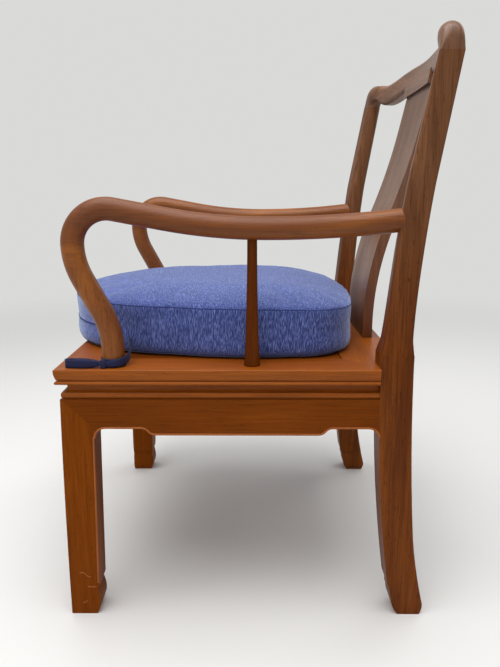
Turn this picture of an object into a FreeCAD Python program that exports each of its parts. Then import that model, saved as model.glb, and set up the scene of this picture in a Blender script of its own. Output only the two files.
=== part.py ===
# Armchair in the Chinese manner: a mitred seat frame on horse-hoof legs, goose-neck arms, a splat and a yoke
# crest rail. The seat faces -Y, +Z is up and +X is the sitter's left. Sizes are millimetres.
# Inside the bodies Y counts from the middle of the four feet. Every body is then moved to the chair's origin.
import FreeCAD, Part
import itertools
import math
import os
from types import SimpleNamespace

import Sketcher
from FreeCAD import Placement, Rotation, Vector

SIZES = {
    # the chair's frame of reference
    "origin_back": 14.8,             # from the middle of the feet back to the middle of the whole chair
    # seat frame
    "seat_top": 415,
    "seat_half": 298,               # half the width over the seat frame
    "seat_front": 286,
    "seat_lip": 6.5,                # how far the frame stands out beyond the legs
    "rail_width": 67,
    "rail_height": 24,
    "rail_bead": 5,
    "rail_slope": 3,                # the rail's face falls inwards towards its bead
    "rail_round": 2.5,
    "panel_lip": 6,                 # wood over the groove
    "groove_depth": 8,
    "groove_height": 6,
    "panel_thick": 12,
    "panel_gap": 1.5,
    "panel_drop": 0.5,              # the panel lies a little lower than the frame
    "tongue_slack": 0.2,
    "batten_width": 30,
    "batten_height": 18,
    "batten_spacing": 190,
    # waist and aprons
    "waist_height": 24,
    "waist_recess": 5.5,
    "waist_hollow": 4,
    "waist_band_out": 3.5,
    "apron_thick": 20,
    "apron_end_drop": 46.5,         # depth of the apron beside the legs
    "apron_drop": 57,               # depth of the apron in its middle
    "apron_ear": 16,                # radius where the apron turns down into the leg
    "cusp_start": 70,               # from the ear to the step of the lower edge
    "cusp_length": 22,
    # legs
    "leg_thick": 44,
    "leg_width": 49,
    "leg_spread": 5,                # the front foot stands forward of its top
    "leg_taper": 2,
    "hoof_height": 44,
    "hoof_ankle": 12,
    "hoof_notch": 3,
    "hoof_toe": 6,
    # rear legs and posts
    "rear_leg_front": 200,
    "rear_leg_sweep": 40,           # the rear foot stands back of its top
    "post_square": 20,              # the post stays square up to this height over the seat
    "post_rake": 52.5,                # how far the post leans back between those two heights
    "post_tenon": 14,
    # arms and their spindles
    "arm_round": 34,
    "arm_setback": 85,              # from the seat's front edge to the arm's foot
    "neck_foot": 25,
    "neck_low_radius": 127,
    "neck_run": 51.6,
    "neck_high_radius": 110,
    "knee_radius": 51,
    "arm_fall": 73,                 # straight run behind the bend
    "arm_sag_radius": 823,
    "arm_tenon": 16,
    "spindle_foot": 25,
    "spindle_neck": 14.5,
    "spindle_place": 9,
    "spindle_tenon": 10,
    "tenon_length": 14,
    # back
    "overall_height": 901,
    "crest_rise": 44,               # from the posts' joints up to the top of the rail's middle
    "crest_height": 38,
    "crest_thick": 24,
    "crest_bow": 46,                # how far the crest rail bows back in its middle
    "crest_elbow": 26,
    "crest_tab": 8,
    "tab_thick": 18,
    "splat_half": 84,
    "splat_thick": 17,
    "splat_foot": 9,                # from the rear legs' front back to the splat
    "splat_rise": 25,               # the splat is upright up to this height over the seat
    "splat_low_radius": 530,
    "splat_straight_from": 790,          # above this height it is straight again
    "splat_tongue": 9,
    "splat_tongue_thick": 8,
    # cushion and ties
    "cushion_side_gap": 13,         # to the feet of the spindles
    "cushion_overhang": 23,         # beyond the seat's front edge
    "cushion_back_gap": 19,         # to the splat
    "cushion_boxing": 84,
    "cushion_crown": 18,
    "soft_clear": 0.3,
    "tape_width": 13,
    "tape_thick": 1.8,
    "loop_length": 46,
    "loop_width": 15,
    "knot_size": 12,
    "overrun": 5,                   # how far every cut runs past the wood
}

ANGLES = {
    "neck_turn": 28,                # how far the goose neck leans from upright
    "fall_turn": 10.5,              # slope of the arm behind its bend
    "rise_turn": 7.5,               # slope of the arm where it meets the post
    "crest_tilt": 13,
    "splat_lean": 21.5,             # the steepest slope of the splat
    "splat_top_lean": 12.5,
}

doc = FreeCAD.newDocument("armchair")
sheet = doc.addObject("Spreadsheet::Sheet", "dim")
for row, (alias, number) in enumerate({**SIZES, **ANGLES}.items(), start=1):
    sheet.set(f"A{row}", alias)
    sheet.set(f"B{row}", str(number))
    sheet.setAlias(f"B{row}", alias)
doc.recompute()


class Size:
    """A size from the sheet, or a sum of such sizes: its formula for the model, and its number."""

    def __init__(self, formula, number):
        self.formula = formula
        self.number = number

    def __add__(self, other):
        other = as_size(other)
        return Size(f"({self.formula} + {other.formula})", self.number + other.number)

    def __sub__(self, other):
        other = as_size(other)
        return Size(f"({self.formula} - {other.formula})", self.number - other.number)

    def __mul__(self, other):
        other = as_size(other)
        return Size(f"({self.formula} * {other.formula})", self.number * other.number)

    def __truediv__(self, other):
        other = as_size(other)
        return Size(f"({self.formula} / {other.formula})", self.number / other.number)

    def __neg__(self):
        return Size(f"(0 - {self.formula})", -self.number)

    __radd__ = __add__
    __rmul__ = __mul__

    def __rsub__(self, other):
        return as_size(other) - self


def as_size(value):
    return value if isinstance(value, Size) else Size(repr(value), value)


def sine(angle):
    return Size(f"sin({angle.formula})", math.sin(math.radians(angle.number)))


def cosine(angle):
    return Size(f"cos({angle.formula})", math.cos(math.radians(angle.number)))


d = SimpleNamespace(**{alias: Size(f"dim.{alias}", sheet.get(alias)) for alias in {**SIZES, **ANGLES}})
rows = itertools.count(len(SIZES) + len(ANGLES) + 1)
ZERO = as_size(0)
RIGHT_ANGLE = as_size(90)
CORNER_SHARE = 1 - math.sqrt(0.5)       # how far a rounded corner's middle lies inside the square corner


def derive(alias, size):
    """Gives a worked-out size its own line in the sheet, which keeps the formulas short."""
    row = next(rows)
    sheet.set(f"A{row}", alias)
    sheet.set(f"B{row}", "=" + size.formula.replace("dim.", ""))
    sheet.setAlias(f"B{row}", alias)
    sheet.recompute()
    return Size(f"dim.{alias}", size.number)


# Levels and faces that several pieces share
leg_outer = d.seat_half - d.seat_lip
leg_inner = leg_outer - d.leg_thick
leg_centre = leg_outer - d.leg_thick / 2
rail_bottom = d.seat_top - d.rail_height
apron_top = rail_bottom - d.waist_height
leg_front = -(d.seat_front - d.seat_lip)
leg_back = leg_front + d.leg_width
foot_front = leg_front - d.leg_spread
rear_leg_back = d.rear_leg_front + d.leg_width
seat_inner = d.seat_half - d.rail_width
panel_front = d.rail_width - d.seat_front
panel_back = d.rear_leg_front - (leg_centre + d.leg_thick / 4 - seat_inner)
back_rail_rear = rear_leg_back - d.seat_lip
arm_foot_y = d.arm_setback - d.seat_front
post_joint = d.overall_height - d.crest_rise
cushion_half = leg_centre - d.spindle_foot / 2 - d.cushion_side_gap
cushion_front = d.seat_front + d.cushion_overhang
cushion_rear = d.rear_leg_front + d.splat_foot - d.cushion_back_gap


def new_body(name):
    """A sub-part: one body, set back from the middle of the feet to the chair's origin."""
    body = doc.addObject("PartDesign::Body", name)
    body.Label = name
    body.setExpression("Placement.Base.y", (-d.origin_back).formula)
    return body


def new_sketch(body, name, role, lift=ZERO, turn=None, across=ZERO, up=ZERO):
    """A sketch on one of the body's own origin planes, lifted along that plane's normal."""
    sketch = body.newObject("Sketcher::SketchObject", name)
    plane = next(item for item in body.Origin.OriginFeatures if item.Role == role)
    sketch.AttachmentSupport = (plane, [""])
    sketch.MapMode = "FlatFace"
    if turn is not None:
        sketch.AttachmentOffset = Placement(Vector(), turn)
    for axis, value in (("x", across), ("y", up), ("z", lift)):
        if value is not ZERO:
            sketch.setExpression(f"AttachmentOffset.Base.{axis}", value.formula)
    return sketch


def pin_point(sketch, piece, end, place):
    """Binds both coordinates of one point of the sketch to the sheet."""
    for kind, value in (("DistanceX", place[0]), ("DistanceY", place[1])):
        value = as_size(value)
        number = sketch.addConstraint(Sketcher.Constraint(kind, -1, 1, piece, end, value.number))
        if value is not ZERO:
            sketch.setExpression(f"Constraints[{number}]", value.formula)


def flat(place):
    return Vector(as_size(place[0]).number, as_size(place[1]).number, 0)


def draw(sketch, corners, closed=True):
    """An outline. A corner is (across, up); two more numbers are a point on the arc that ends there."""
    ends = []
    for start, stop in zip(corners, corners[1:] + corners[:1] if closed else corners[1:]):
        first, last = flat(start), flat(stop)
        if len(stop) == 2:
            piece = sketch.addGeometry(Part.LineSegment(first, last))
            ends.append((piece, 1, 2))
        else:
            through = stop[2:]
            piece = sketch.addGeometry(Part.Arc(first, flat(through), last))
            begin, finish = sketch.getPoint(piece, 1), sketch.getPoint(piece, 2)
            forward = begin.distanceToPoint(first) < finish.distanceToPoint(first)
            ends.append((piece, 1, 2) if forward else (piece, 2, 1))
            middle = sketch.addGeometry(Part.Point(flat(through)), True)
            pin_point(sketch, middle, 1, through)
            sketch.addConstraint(Sketcher.Constraint("PointOnObject", middle, 1, piece))
    for index, ((piece, begin, finish), start) in enumerate(zip(ends, corners)):
        pin_point(sketch, piece, begin, start)
        if closed or index:
            before, _, arrival = ends[index - 1]
            sketch.addConstraint(Sketcher.Constraint("Coincident", before, arrival, piece, begin))
    if not closed:
        pin_point(sketch, piece, finish, corners[-1])
    return sketch


def draw_circle(sketch, radius, across, up):
    piece = sketch.addGeometry(Part.Circle(flat((across, up)), Vector(0, 0, 1), radius.number))
    pin_point(sketch, piece, 3, (across, up))
    number = sketch.addConstraint(Sketcher.Constraint("Radius", piece, radius.number))
    sketch.setExpression(f"Constraints[{number}]", radius.formula)
    return sketch


def corner_cut(corner, radius, first, second):
    """Where an arc starts, passes and ends between the two sides that leave a corner at these angles."""
    half = abs(second - first) / 2
    middle = (first + second) / 2
    reach = 1 / math.tan(half)
    short = 1 / math.sin(half) - 1

    def away(angle, share):
        return corner[0] + radius * (math.cos(angle) * share), corner[1] + radius * (math.sin(angle) * share)

    return away(first, reach), away(middle, short), away(second, reach)


def rounded(width, depth, radius, across=ZERO, up=ZERO, outer=None, taper=0):
    """The corners of a rectangle with rounded corners, as eight edges: the right side's lower and upper
    corner may have radii of their own, and the left side may be shorter, by this taper at each end."""
    right, left = across + width / 2, across - width / 2
    shorter = width * taper
    lean = math.atan(taper)
    quarter = math.pi / 2
    turns = []
    for side in (-1, 1):
        edge = up + depth / 2 * side
        left_cut = corner_cut((left, edge - shorter * side), radius, lean * side, -quarter * side)
        right_radius = outer[max(side, 0)] if outer else radius
        right_cut = corner_cut((right, edge), right_radius, (math.pi - lean) * -side, -quarter * side)
        turns.append((left_cut, right_cut))
    (low_left, low_right), (high_left, high_right) = turns
    return [
        (*low_left[0], *low_left[1]),
        low_right[0],
        (*low_right[2], *low_right[1]),
        high_right[2],
        (*high_right[0], *high_right[1]),
        high_left[0],
        (*high_left[2], *high_left[1]),
        low_left[2],
    ]


def square(size, across, up, depth=None):
    depth = depth or size
    return [
        (across - size / 2, up - depth / 2),
        (across + size / 2, up - depth / 2),
        (across + size / 2, up + depth / 2),
        (across - size / 2, up + depth / 2),
    ]


def pad(body, sketch, length, backwards=False):
    feature = body.newObject("PartDesign::Pad", sketch.Name + "_pad")
    feature.Profile = sketch
    feature.Reversed = backwards
    feature.setExpression("Length", length.formula)
    doc.recompute()
    return feature


def pocket(body, sketch, depth, backwards=False):
    """Cuts the sketch out of the body, and checks that wood was removed."""
    before = body.Shape.Volume
    feature = body.newObject("PartDesign::Pocket", sketch.Name + "_cut")
    feature.Profile = sketch
    feature.Reversed = backwards
    feature.setExpression("Length", depth.formula)
    doc.recompute()
    if not body.Shape.Volume < before:
        raise ValueError(f"{sketch.Name} cuts nothing")
    return feature


def loft(body, sections, name, ruled=False):
    """Adds wood through the sections, and checks that the body took it."""
    before = 0 if body.Shape.isNull() else body.Shape.Volume
    feature = body.newObject("PartDesign::AdditiveLoft", f"{name}_loft")
    feature.Profile = sections[0]
    feature.Sections = sections[1:]
    feature.Ruled = ruled
    doc.recompute()
    if not body.Shape.Volume > before:
        raise ValueError(f"{name} adds nothing, {feature.getStatusString()}")
    return feature


def pipe(body, profile, spine):
    feature = body.newObject("PartDesign::AdditivePipe", f"{body.Name}_pipe")
    feature.Profile = profile
    feature.Spine = (spine, [""])
    doc.recompute()
    return feature


class Course:
    """A line drawn by runs and bends. Its lean is counted from upright towards +across."""

    def __init__(self, name, across, up, lean=ZERO):
        self.name = name
        self.stops = [(across, up, lean, None)]

    def note(self, across, up, lean, middle):
        number = len(self.stops)
        across = derive(f"{self.name}_{number}_across", across)
        up = derive(f"{self.name}_{number}_up", up)
        self.stops.append((across, up, lean, middle))
        return self

    def run(self, length):
        across, up, lean, _ = self.stops[-1]
        return self.note(across + length * sine(lean), up + length * cosine(lean), lean, None)

    def bend(self, radius, lean):
        """Turns along an arc until the line leans by the new angle."""
        across, up, before, _ = self.stops[-1]
        signed = radius if lean.number > before.number else -radius
        half = (before + lean) / 2

        def reach(angle):
            return (across + signed * (cosine(before) - cosine(angle)),
                    up + signed * (sine(angle) - sine(before)))

        middle = (*reach(half), half)
        return self.note(*reach(lean), lean, middle)

    def corners(self, offset=ZERO):
        """The corners of the line itself, or of a line beside it on its +across side."""
        found = []
        for across, up, lean, middle in self.stops:
            corner = [across + offset * cosine(lean), up - offset * sine(lean)]
            if middle is not None:
                corner += [middle[0] + offset * cosine(middle[2]), middle[1] - offset * sine(middle[2])]
            found.append(tuple(corner))
        return found


def backwards_through(corners):
    """The same open outline drawn from its other end."""
    turned = [corners[-1][:2]]
    for before, corner in zip(corners[-2::-1], corners[:0:-1]):
        turned.append((*before[:2], *corner[2:]))
    return turned


def mirrored(source, name):
    """The right-hand copy of a left-hand piece."""
    copy = doc.addObject("Part::Mirroring", name)
    copy.Label = name
    copy.Source = source
    copy.Normal = (1, 0, 0)
    return copy


def scribed(name, piece, *against):
    """The piece cut to fit the surface of the pieces it stands against."""
    for index, other in enumerate(against):
        cut = doc.addObject("Part::Cut", name if index == len(against) - 1 else f"{name}_fit_{index}")
        cut.Base = piece
        cut.Tool = other
        piece = cut
    piece.Label = name
    return piece


NODES = {}


def keep(name, piece):
    NODES[name] = piece
    return piece


# Front legs: square sticks on inward horse-hoof feet, with both aprons lapped and mitred over their tops
HOOF_SHARES = {
    # points of the hoof's inner edge: share of the notch or toe inwards, share of the hoof's height
    "throat": (0.35, 0.09),
    "heel": (0.45, 0.84),
    "swell": 0.62,
    "under": (0.22, 0.24),
}
LEG_CURVE_SHARE = 0.2


def hoof_edge(inner, sign):
    """The inner edge of a hoof from the ankle down to the floor; sign is the side on which the leg lies."""
    notch = sign * d.hoof_notch
    toe = sign * d.hoof_toe
    ankle = d.hoof_height + d.hoof_ankle
    throat, heel, under = HOOF_SHARES["throat"], HOOF_SHARES["heel"], HOOF_SHARES["under"]
    return [
        (inner, ankle),
        (inner + notch, d.hoof_height, inner + notch * throat[0], d.hoof_height + d.hoof_height * throat[1]),
        (inner, d.hoof_height * HOOF_SHARES["swell"], inner + notch * heel[0], d.hoof_height * heel[1]),
        (inner + toe, ZERO, inner + toe * under[0], d.hoof_height * under[1]),
    ]


def inner_hoof(body, plane_y, depth):
    sketch = new_sketch(body, f"{body.Name}_hoof", "XZ_Plane", -plane_y)
    beyond = leg_inner - d.overrun
    draw(sketch, [
        (beyond, d.hoof_height + d.hoof_ankle),
        *hoof_edge(leg_inner, 1),
        (beyond, ZERO),
    ])
    return pocket(body, sketch, depth)


def leg_ear(body, name, role, lift, edge, into):
    """The lower half of the rounded corner between a leg and an apron."""
    sketch = new_sketch(body, name, role, lift)
    up = apron_top - d.apron_end_drop
    tip = edge + into * d.apron_ear
    root = edge - into * d.overrun
    inset = d.apron_ear * CORNER_SHARE
    draw(sketch, [
        (root, up - d.apron_ear),
        (edge, up - d.apron_ear),
        (tip, up, edge + into * inset, up - inset),
        (tip, up + d.overrun),
        (root, up + d.overrun),
    ])
    return pad(body, sketch, d.apron_thick)


def apron_lap(body, name, role, lift, outer, inner, depth):
    """Cuts away the outer layer of the leg above the mitre that runs from its top corner to the ear."""
    into = 1 if inner.number > outer.number else -1
    inset = d.apron_ear * CORNER_SHARE
    ear_across = inner + into * inset
    ear_up = apron_top - d.apron_end_drop - inset
    beyond = ear_across + ear_across - outer
    sketch = new_sketch(body, name, role, lift)
    draw(sketch, [(outer, apron_top), (beyond, ear_up + ear_up - apron_top), (beyond, apron_top)])
    return pocket(body, sketch, depth)


def front_leg():
    body = new_body("front_leg_left")
    side = new_sketch(body, "front_leg_side", "YZ_Plane", leg_inner)
    draw(side, [
        (foot_front, ZERO),
        (leg_front, rail_bottom, foot_front + d.leg_spread * LEG_CURVE_SHARE, apron_top / 2),
        (leg_back, rail_bottom),
        *hoof_edge(leg_back - d.leg_spread - d.leg_taper, -1),
    ])
    pad(body, side, d.leg_thick)
    leg_ear(body, "leg_side_ear", "YZ_Plane", leg_outer - d.apron_thick, leg_back, 1)
    leg_ear(body, "leg_front_ear", "XZ_Plane", -leg_front - d.apron_thick, leg_inner, -1)
    inner_hoof(body, -d.seat_front, d.rail_width)
    # above the mitres only the core of the leg goes on up, behind the aprons and the waist
    apron_lap(body, "side_lap", "YZ_Plane", leg_outer, leg_front, leg_back, d.apron_thick)
    apron_lap(body, "front_lap", "XZ_Plane", d.leg_spread - leg_front, leg_outer, leg_inner,
              d.apron_thick + d.leg_spread)
    core = new_sketch(body, "leg_core", "XY_Plane", rail_bottom)
    draw(core, [
        (leg_inner - d.overrun, leg_front - d.overrun),
        (leg_outer + d.overrun, leg_front - d.overrun),
        (leg_outer + d.overrun, leg_back + d.overrun),
        (leg_outer - d.apron_thick, leg_back + d.overrun),
        (leg_outer - d.apron_thick, leg_front + d.apron_thick),
        (leg_inner - d.overrun, leg_front + d.apron_thick),
    ])
    pocket(body, core, d.waist_height)
    return body


keep("front_leg_left", front_leg())
keep("front_leg_right", mirrored(NODES["front_leg_left"], "front_leg_right"))


# Rear legs: one stick each from the floor to the crest rail, square up to the seat and rounded above it
REAR_EDGE_SHARES = [
    # the rear edge from the floor up: back as shares of the sweep, up as shares of the seat's height,
    # then the same two for a point of the arc that ends there
    (0.9, 0.046, 0.88, 0.02),
    (0.375, 0.323, 0.6, 0.18),
    (0.0, 1.0, 0.13, 0.64),
]
HEEL_SHARE = 0.8
FRONT_EDGE_SHARES = [
    # the front edge from the seat down to the floor, in the same way
    (0.65, 0.15, 0.27, 0.46),
    (0.8, 0.106, 0.69, 0.13),
    (0.86, 0.07, 0.8, 0.088),
    (1.15, 0.0, 0.95, 0.03),
]
POST_STATION_SHARES = [
    # height, width, thickness, corner radii inside, outside in front and outside behind as shares of the
    # post's own sizes, and how much the front and the back draw in towards the inside
    (0.0, 1.0, 1.0, 0.045, 0.045, 0.045, 0.0),
    (0.05, 0.875, 0.965, 0.2, 0.13, 0.1, 0.03),
    (0.16, 0.842, 0.93, 0.25, 0.18, 0.1, 0.08),
    (0.32, 0.837, 0.86, 0.27, 0.22, 0.09, 0.12),
    (0.46, 0.832, 0.81, 0.28, 0.2, 0.08, 0.15),
    (0.6, 0.815, 0.785, 0.28, 0.12, 0.06, 0.18),
    (1.0, 0.735, 0.7, 0.3, 0.06, 0.06, 0.22),
]
POST_LEAN_SHARE = 0.32
post_foot = d.seat_top + d.post_square
post_top_thick = d.leg_thick * POST_STATION_SHARES[-1][2]
post_top_width = d.leg_width * POST_STATION_SHARES[-1][1]
post_top_y = d.rear_leg_front + d.leg_width / 2 + d.post_rake


def swept(base, shares):
    return [tuple(
        base + d.rear_leg_sweep * share if place % 2 == 0 else d.seat_top * share
        for place, share in enumerate(corner)) for corner in shares]


def post_centre(share):
    """How far back the middle of the post lies at a share of its height."""
    lean_share = POST_LEAN_SHARE * share + (1 - POST_LEAN_SHARE) * share * share
    return d.rear_leg_front + d.leg_width / 2 + d.post_rake * lean_share


def rear_leg():
    body = new_body("rear_leg_left")
    side = new_sketch(body, "rear_leg_side", "YZ_Plane", leg_inner)
    front_edge = swept(d.rear_leg_front, FRONT_EDGE_SHARES)
    rear_edge = swept(rear_leg_back, REAR_EDGE_SHARES)
    draw(side, [
        (rear_leg_back + d.rear_leg_sweep * HEEL_SHARE, ZERO),
        *rear_edge,
        (rear_leg_back, post_foot),
        (d.rear_leg_front, post_foot),
        (d.rear_leg_front, d.seat_top),
        *front_edge,
    ])
    pad(body, side, d.leg_thick)
    inner_hoof(body, d.rear_leg_front, d.leg_width + d.rear_leg_sweep + d.overrun)
    sections = []
    for index, (height, width, thick, inside, front, rear, taper) in enumerate(POST_STATION_SHARES):
        lift = post_foot + (post_joint - post_foot) * height
        section = new_sketch(body, f"post_section_{index}", "XY_Plane", lift)
        depth = d.leg_width * width
        draw(section, rounded(d.leg_thick * thick, depth, depth * inside, leg_centre, post_centre(height),
                              (depth * front, depth * rear), taper))
        sections.append(section)
    loft(body, sections[:2], "shoulder", ruled=True)
    loft(body, sections[1:-1], "post")
    loft(body, sections[-2:], "post_top", ruled=True)
    tenon = new_sketch(body, "post_tenon", "XY_Plane", post_joint)
    draw(tenon, square(d.post_tenon, leg_centre, post_top_y))
    pad(body, tenon, d.tenon_length)
    return body


keep("rear_leg_left", rear_leg())
keep("rear_leg_right", mirrored(NODES["rear_leg_left"], "rear_leg_right"))


# Seat frame: four rails mitred at the corners, with a bead under their face and a groove for the panel
RAIL_FACE_SHARES = {
    # points of the rail's face, inwards as shares of its slope and up as shares of its height
    "bead_top": (1.5, 0.3),
    "face_foot": (1.0, 0.3),
    "face_middle": (0.25, 0.6),
    "face_top": 0.88,
}
groove_top = d.seat_top - d.panel_lip
groove_bottom = groove_top - d.groove_height


def rail_section(edge, inner, out):
    """The profile of a rail between its outer edge and its inner one; out is the side it faces."""
    height = d.rail_height
    slope = out * d.rail_slope
    shares = RAIL_FACE_SHARES
    bead_top = rail_bottom + d.rail_bead
    face_top = d.seat_top - d.rail_round
    corner = d.rail_round * CORNER_SHARE
    return [
        (inner, rail_bottom),
        (edge - slope, rail_bottom),
        (edge - slope, bead_top, edge - slope + out * d.rail_bead / 2, rail_bottom + d.rail_bead / 2),
        (edge - slope * shares["bead_top"][0], bead_top),
        (edge - slope * shares["bead_top"][0], rail_bottom + height * shares["bead_top"][1]),
        (edge - slope * shares["face_foot"][0], rail_bottom + height * shares["face_foot"][1]),
        (edge, face_top,
         edge - slope * shares["face_middle"][0], rail_bottom + height * shares["face_middle"][1]),
        (edge - out * d.rail_round, d.seat_top, edge - out * corner, d.seat_top - corner),
        (inner, d.seat_top),
        (inner, groove_top),
        (inner + out * d.groove_depth, groove_top),
        (inner + out * d.groove_depth, groove_bottom),
        (inner, groove_bottom),
    ]


def cut_through(body, name, corners):
    """Cuts a shape seen from above through the whole height of the seat frame."""
    sketch = new_sketch(body, name, "XY_Plane", d.seat_top)
    draw(sketch, corners)
    return pocket(body, sketch, d.rail_height)


def mortise(body, name, size, across, up, depth, breadth=None):
    """A socket from above, a little wider and deeper than its tenon."""
    sketch = new_sketch(body, name, "XY_Plane", d.seat_top)
    width = size + d.tongue_slack
    draw(sketch, square(width, across, up, breadth + d.tongue_slack if breadth else None))
    return pocket(body, sketch, depth + d.tongue_slack)


def front_rail():
    body = new_body("seat_front_rail")
    section = new_sketch(body, "front_rail_section", "YZ_Plane", -d.seat_half)
    draw(section, rail_section(-d.seat_front, panel_front, -1))
    pad(body, section, d.seat_half + d.seat_half)
    for side, name in ((1, "left"), (-1, "right")):
        outer = side * (d.seat_half + d.overrun)
        inner = side * (seat_inner - d.overrun)
        cut_through(body, f"front_mitre_{name}", [
            (outer, -d.seat_front - d.overrun),
            (outer, panel_front + d.overrun),
            (inner, panel_front + d.overrun),
        ])
    return body


def side_rail():
    body = new_body("seat_side_rail_left")
    section = new_sketch(body, "side_rail_section", "XZ_Plane", -d.rear_leg_front)
    draw(section, rail_section(d.seat_half, seat_inner, 1))
    pad(body, section, d.rear_leg_front + d.seat_front)
    cut_through(body, "side_mitre_front", [
        (d.seat_half + d.overrun, -d.seat_front - d.overrun),
        (seat_inner - d.overrun, panel_front + d.overrun),
        (seat_inner - d.overrun, -d.seat_front - d.overrun),
    ])
    mitre_run = d.rear_leg_front - panel_back
    cut_through(body, "side_mitre_rear", [
        (seat_inner - d.overrun, panel_back - d.overrun),
        (seat_inner + mitre_run + d.overrun, d.rear_leg_front + d.overrun),
        (seat_inner - d.overrun, d.rear_leg_front + d.overrun),
    ])
    mortise(body, "arm_mortise", d.arm_tenon, leg_centre, arm_foot_y, d.tenon_length)
    mortise(body, "spindle_mortise", d.spindle_tenon, leg_centre, d.spindle_place, d.tenon_length)
    return body


def back_rail():
    body = new_body("seat_back_rail")
    section = new_sketch(body, "back_rail_section", "YZ_Plane", -d.seat_half)
    draw(section, rail_section(back_rail_rear, panel_back, 1))
    pad(body, section, d.seat_half + d.seat_half)
    mitre_run = d.rear_leg_front - panel_back
    for side, name in ((1, "left"), (-1, "right")):
        outer = side * (d.seat_half + d.overrun)
        cut_through(body, f"back_mitre_{name}", [
            (side * (seat_inner - d.overrun), panel_back - d.overrun),
            (side * (seat_inner + mitre_run), d.rear_leg_front),
            (side * leg_inner, d.rear_leg_front),
            (side * leg_inner, back_rail_rear + d.overrun),
            (outer, back_rail_rear + d.overrun),
            (outer, panel_back - d.overrun),
        ])
    mortise(body, "splat_mortise", splat_tongue_width, ZERO, splat_foot_y, d.splat_tongue,
            d.splat_tongue_thick)
    return body


def panel():
    body = new_body("seat_panel")
    board = new_sketch(body, "panel_board", "XY_Plane", d.seat_top - d.panel_drop)
    middle = (panel_front + panel_back) / 2
    depth = panel_back - panel_front
    gap = d.panel_gap + d.panel_gap
    draw(board, square(seat_inner + seat_inner - gap, ZERO, middle, depth - gap))
    pad(body, board, d.panel_thick, backwards=True)
    reach = d.groove_depth + d.groove_depth - gap
    tongue = new_sketch(body, "panel_tongue", "XY_Plane", groove_bottom)
    draw(tongue, square(seat_inner + seat_inner + reach, ZERO, middle, depth + reach))
    pad(body, tongue, d.groove_height - d.tongue_slack)
    return body


def batten(name, offset):
    body = new_body(name)
    sketch = new_sketch(body, f"{name}_plan", "XY_Plane", d.seat_top - d.panel_drop - d.panel_thick)
    middle = (panel_front + panel_back) / 2
    draw(sketch, square(seat_inner + seat_inner, ZERO, middle + offset, d.batten_width))
    pad(body, sketch, d.batten_height, backwards=True)
    return body


splat_foot_y = d.rear_leg_front + d.splat_foot + d.splat_thick / 2
splat_tongue_width = d.splat_half + d.splat_half - d.tab_thick
keep("seat_front_rail", front_rail())
keep("seat_side_rail_left", side_rail())
keep("seat_side_rail_right", mirrored(NODES["seat_side_rail_left"], "seat_side_rail_right"))
keep("seat_back_rail", back_rail())
keep("seat_panel", panel())
keep("seat_batten_front", batten("seat_batten_front", -d.batten_spacing / 2))
keep("seat_batten_rear", batten("seat_batten_rear", d.batten_spacing / 2))


# Waist: hollowed strips between the seat frame and the aprons, with a raised band along their foot
WAIST_SHARES = {
    # up as shares of the waist's height, outwards as shares of its band
    "hollow": 0.7,
    "band_top": 0.42,
    "band_middle": (1.3, 0.25),
    "band_foot": 0.1,
    "foot_in": 0.45,
}


def waist_section(face, out):
    """The profile of a waist strip whose face lies a little inside the legs' own."""
    shares = WAIST_SHARES
    skin = face - out * d.waist_recess
    band = out * d.waist_band_out
    height = d.waist_height
    inner = face - out * d.apron_thick
    return [
        (inner, apron_top),
        (skin + band * shares["foot_in"], apron_top),
        (skin + band * shares["foot_in"], apron_top + height * shares["band_foot"]),
        (skin + band, apron_top + height * shares["band_foot"]),
        (skin + band, apron_top + height * shares["band_top"],
         skin + band * shares["band_middle"][0], apron_top + height * shares["band_middle"][1]),
        (skin, apron_top + height * shares["band_top"]),
        (skin, rail_bottom, skin - out * d.waist_hollow, apron_top + height * shares["hollow"]),
        (inner, rail_bottom),
    ]


APRON_SHARES = {
    # the step of the lower edge: along as shares of its length, down as shares of its height
    "turn": (0.5, 0.5),
    "upper": (0.278, 0.131),
    "lower": (0.722, 0.869),
    # the upper half of the ear, as shares of its radius
    "ear": (0.617, 0.076),
}


def apron_steps(start, into):
    """The lower edge near one end, from the ear to the deeper middle part."""
    up = apron_top - d.apron_end_drop
    low = d.apron_drop - d.apron_end_drop
    begin = start + into * d.cusp_start
    length = into * d.cusp_length
    shares = APRON_SHARES
    return [
        (begin, up),
        (begin + length * shares["turn"][0], up - low * shares["turn"][1],
         begin + length * shares["upper"][0], up - low * shares["upper"][1]),
        (begin + length, up - low,
         begin + length * shares["lower"][0], up - low * shares["lower"][1]),
    ]


def apron_mitred_end(outer, inner, into):
    """From the top corner down the mitre and round the upper half of the ear."""
    inset = d.apron_ear * CORNER_SHARE
    up = apron_top - d.apron_end_drop
    shares = APRON_SHARES["ear"]
    return [
        (outer, apron_top),
        (inner + into * inset, up - inset),
        (inner + into * d.apron_ear, up,
         inner + into * d.apron_ear * shares[0], up - d.apron_ear * shares[1]),
    ]


def apron_straight_end(end, into):
    """From the top corner down the leg and round the whole ear."""
    inset = d.apron_ear * CORNER_SHARE
    up = apron_top - d.apron_end_drop
    return [
        (end, apron_top),
        (end, up - d.apron_ear),
        (end + into * d.apron_ear, up, end + into * inset, up - inset),
    ]


def corner_mitre(body, name, side):
    """Cuts the end of a front piece along the upright mitre plane at one front corner."""
    sketch = new_sketch(body, name, "XY_Plane", rail_bottom)
    corner = side * leg_outer
    inside = side * (leg_outer - d.apron_thick - d.overrun)
    draw(sketch, [
        (corner + side * d.overrun, leg_front - d.overrun),
        (inside, leg_front + d.apron_thick + d.overrun),
        (corner + side * d.overrun, leg_front + d.apron_thick + d.overrun),
    ])
    return pocket(body, sketch, d.waist_height + d.apron_end_drop + d.apron_ear)


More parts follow.
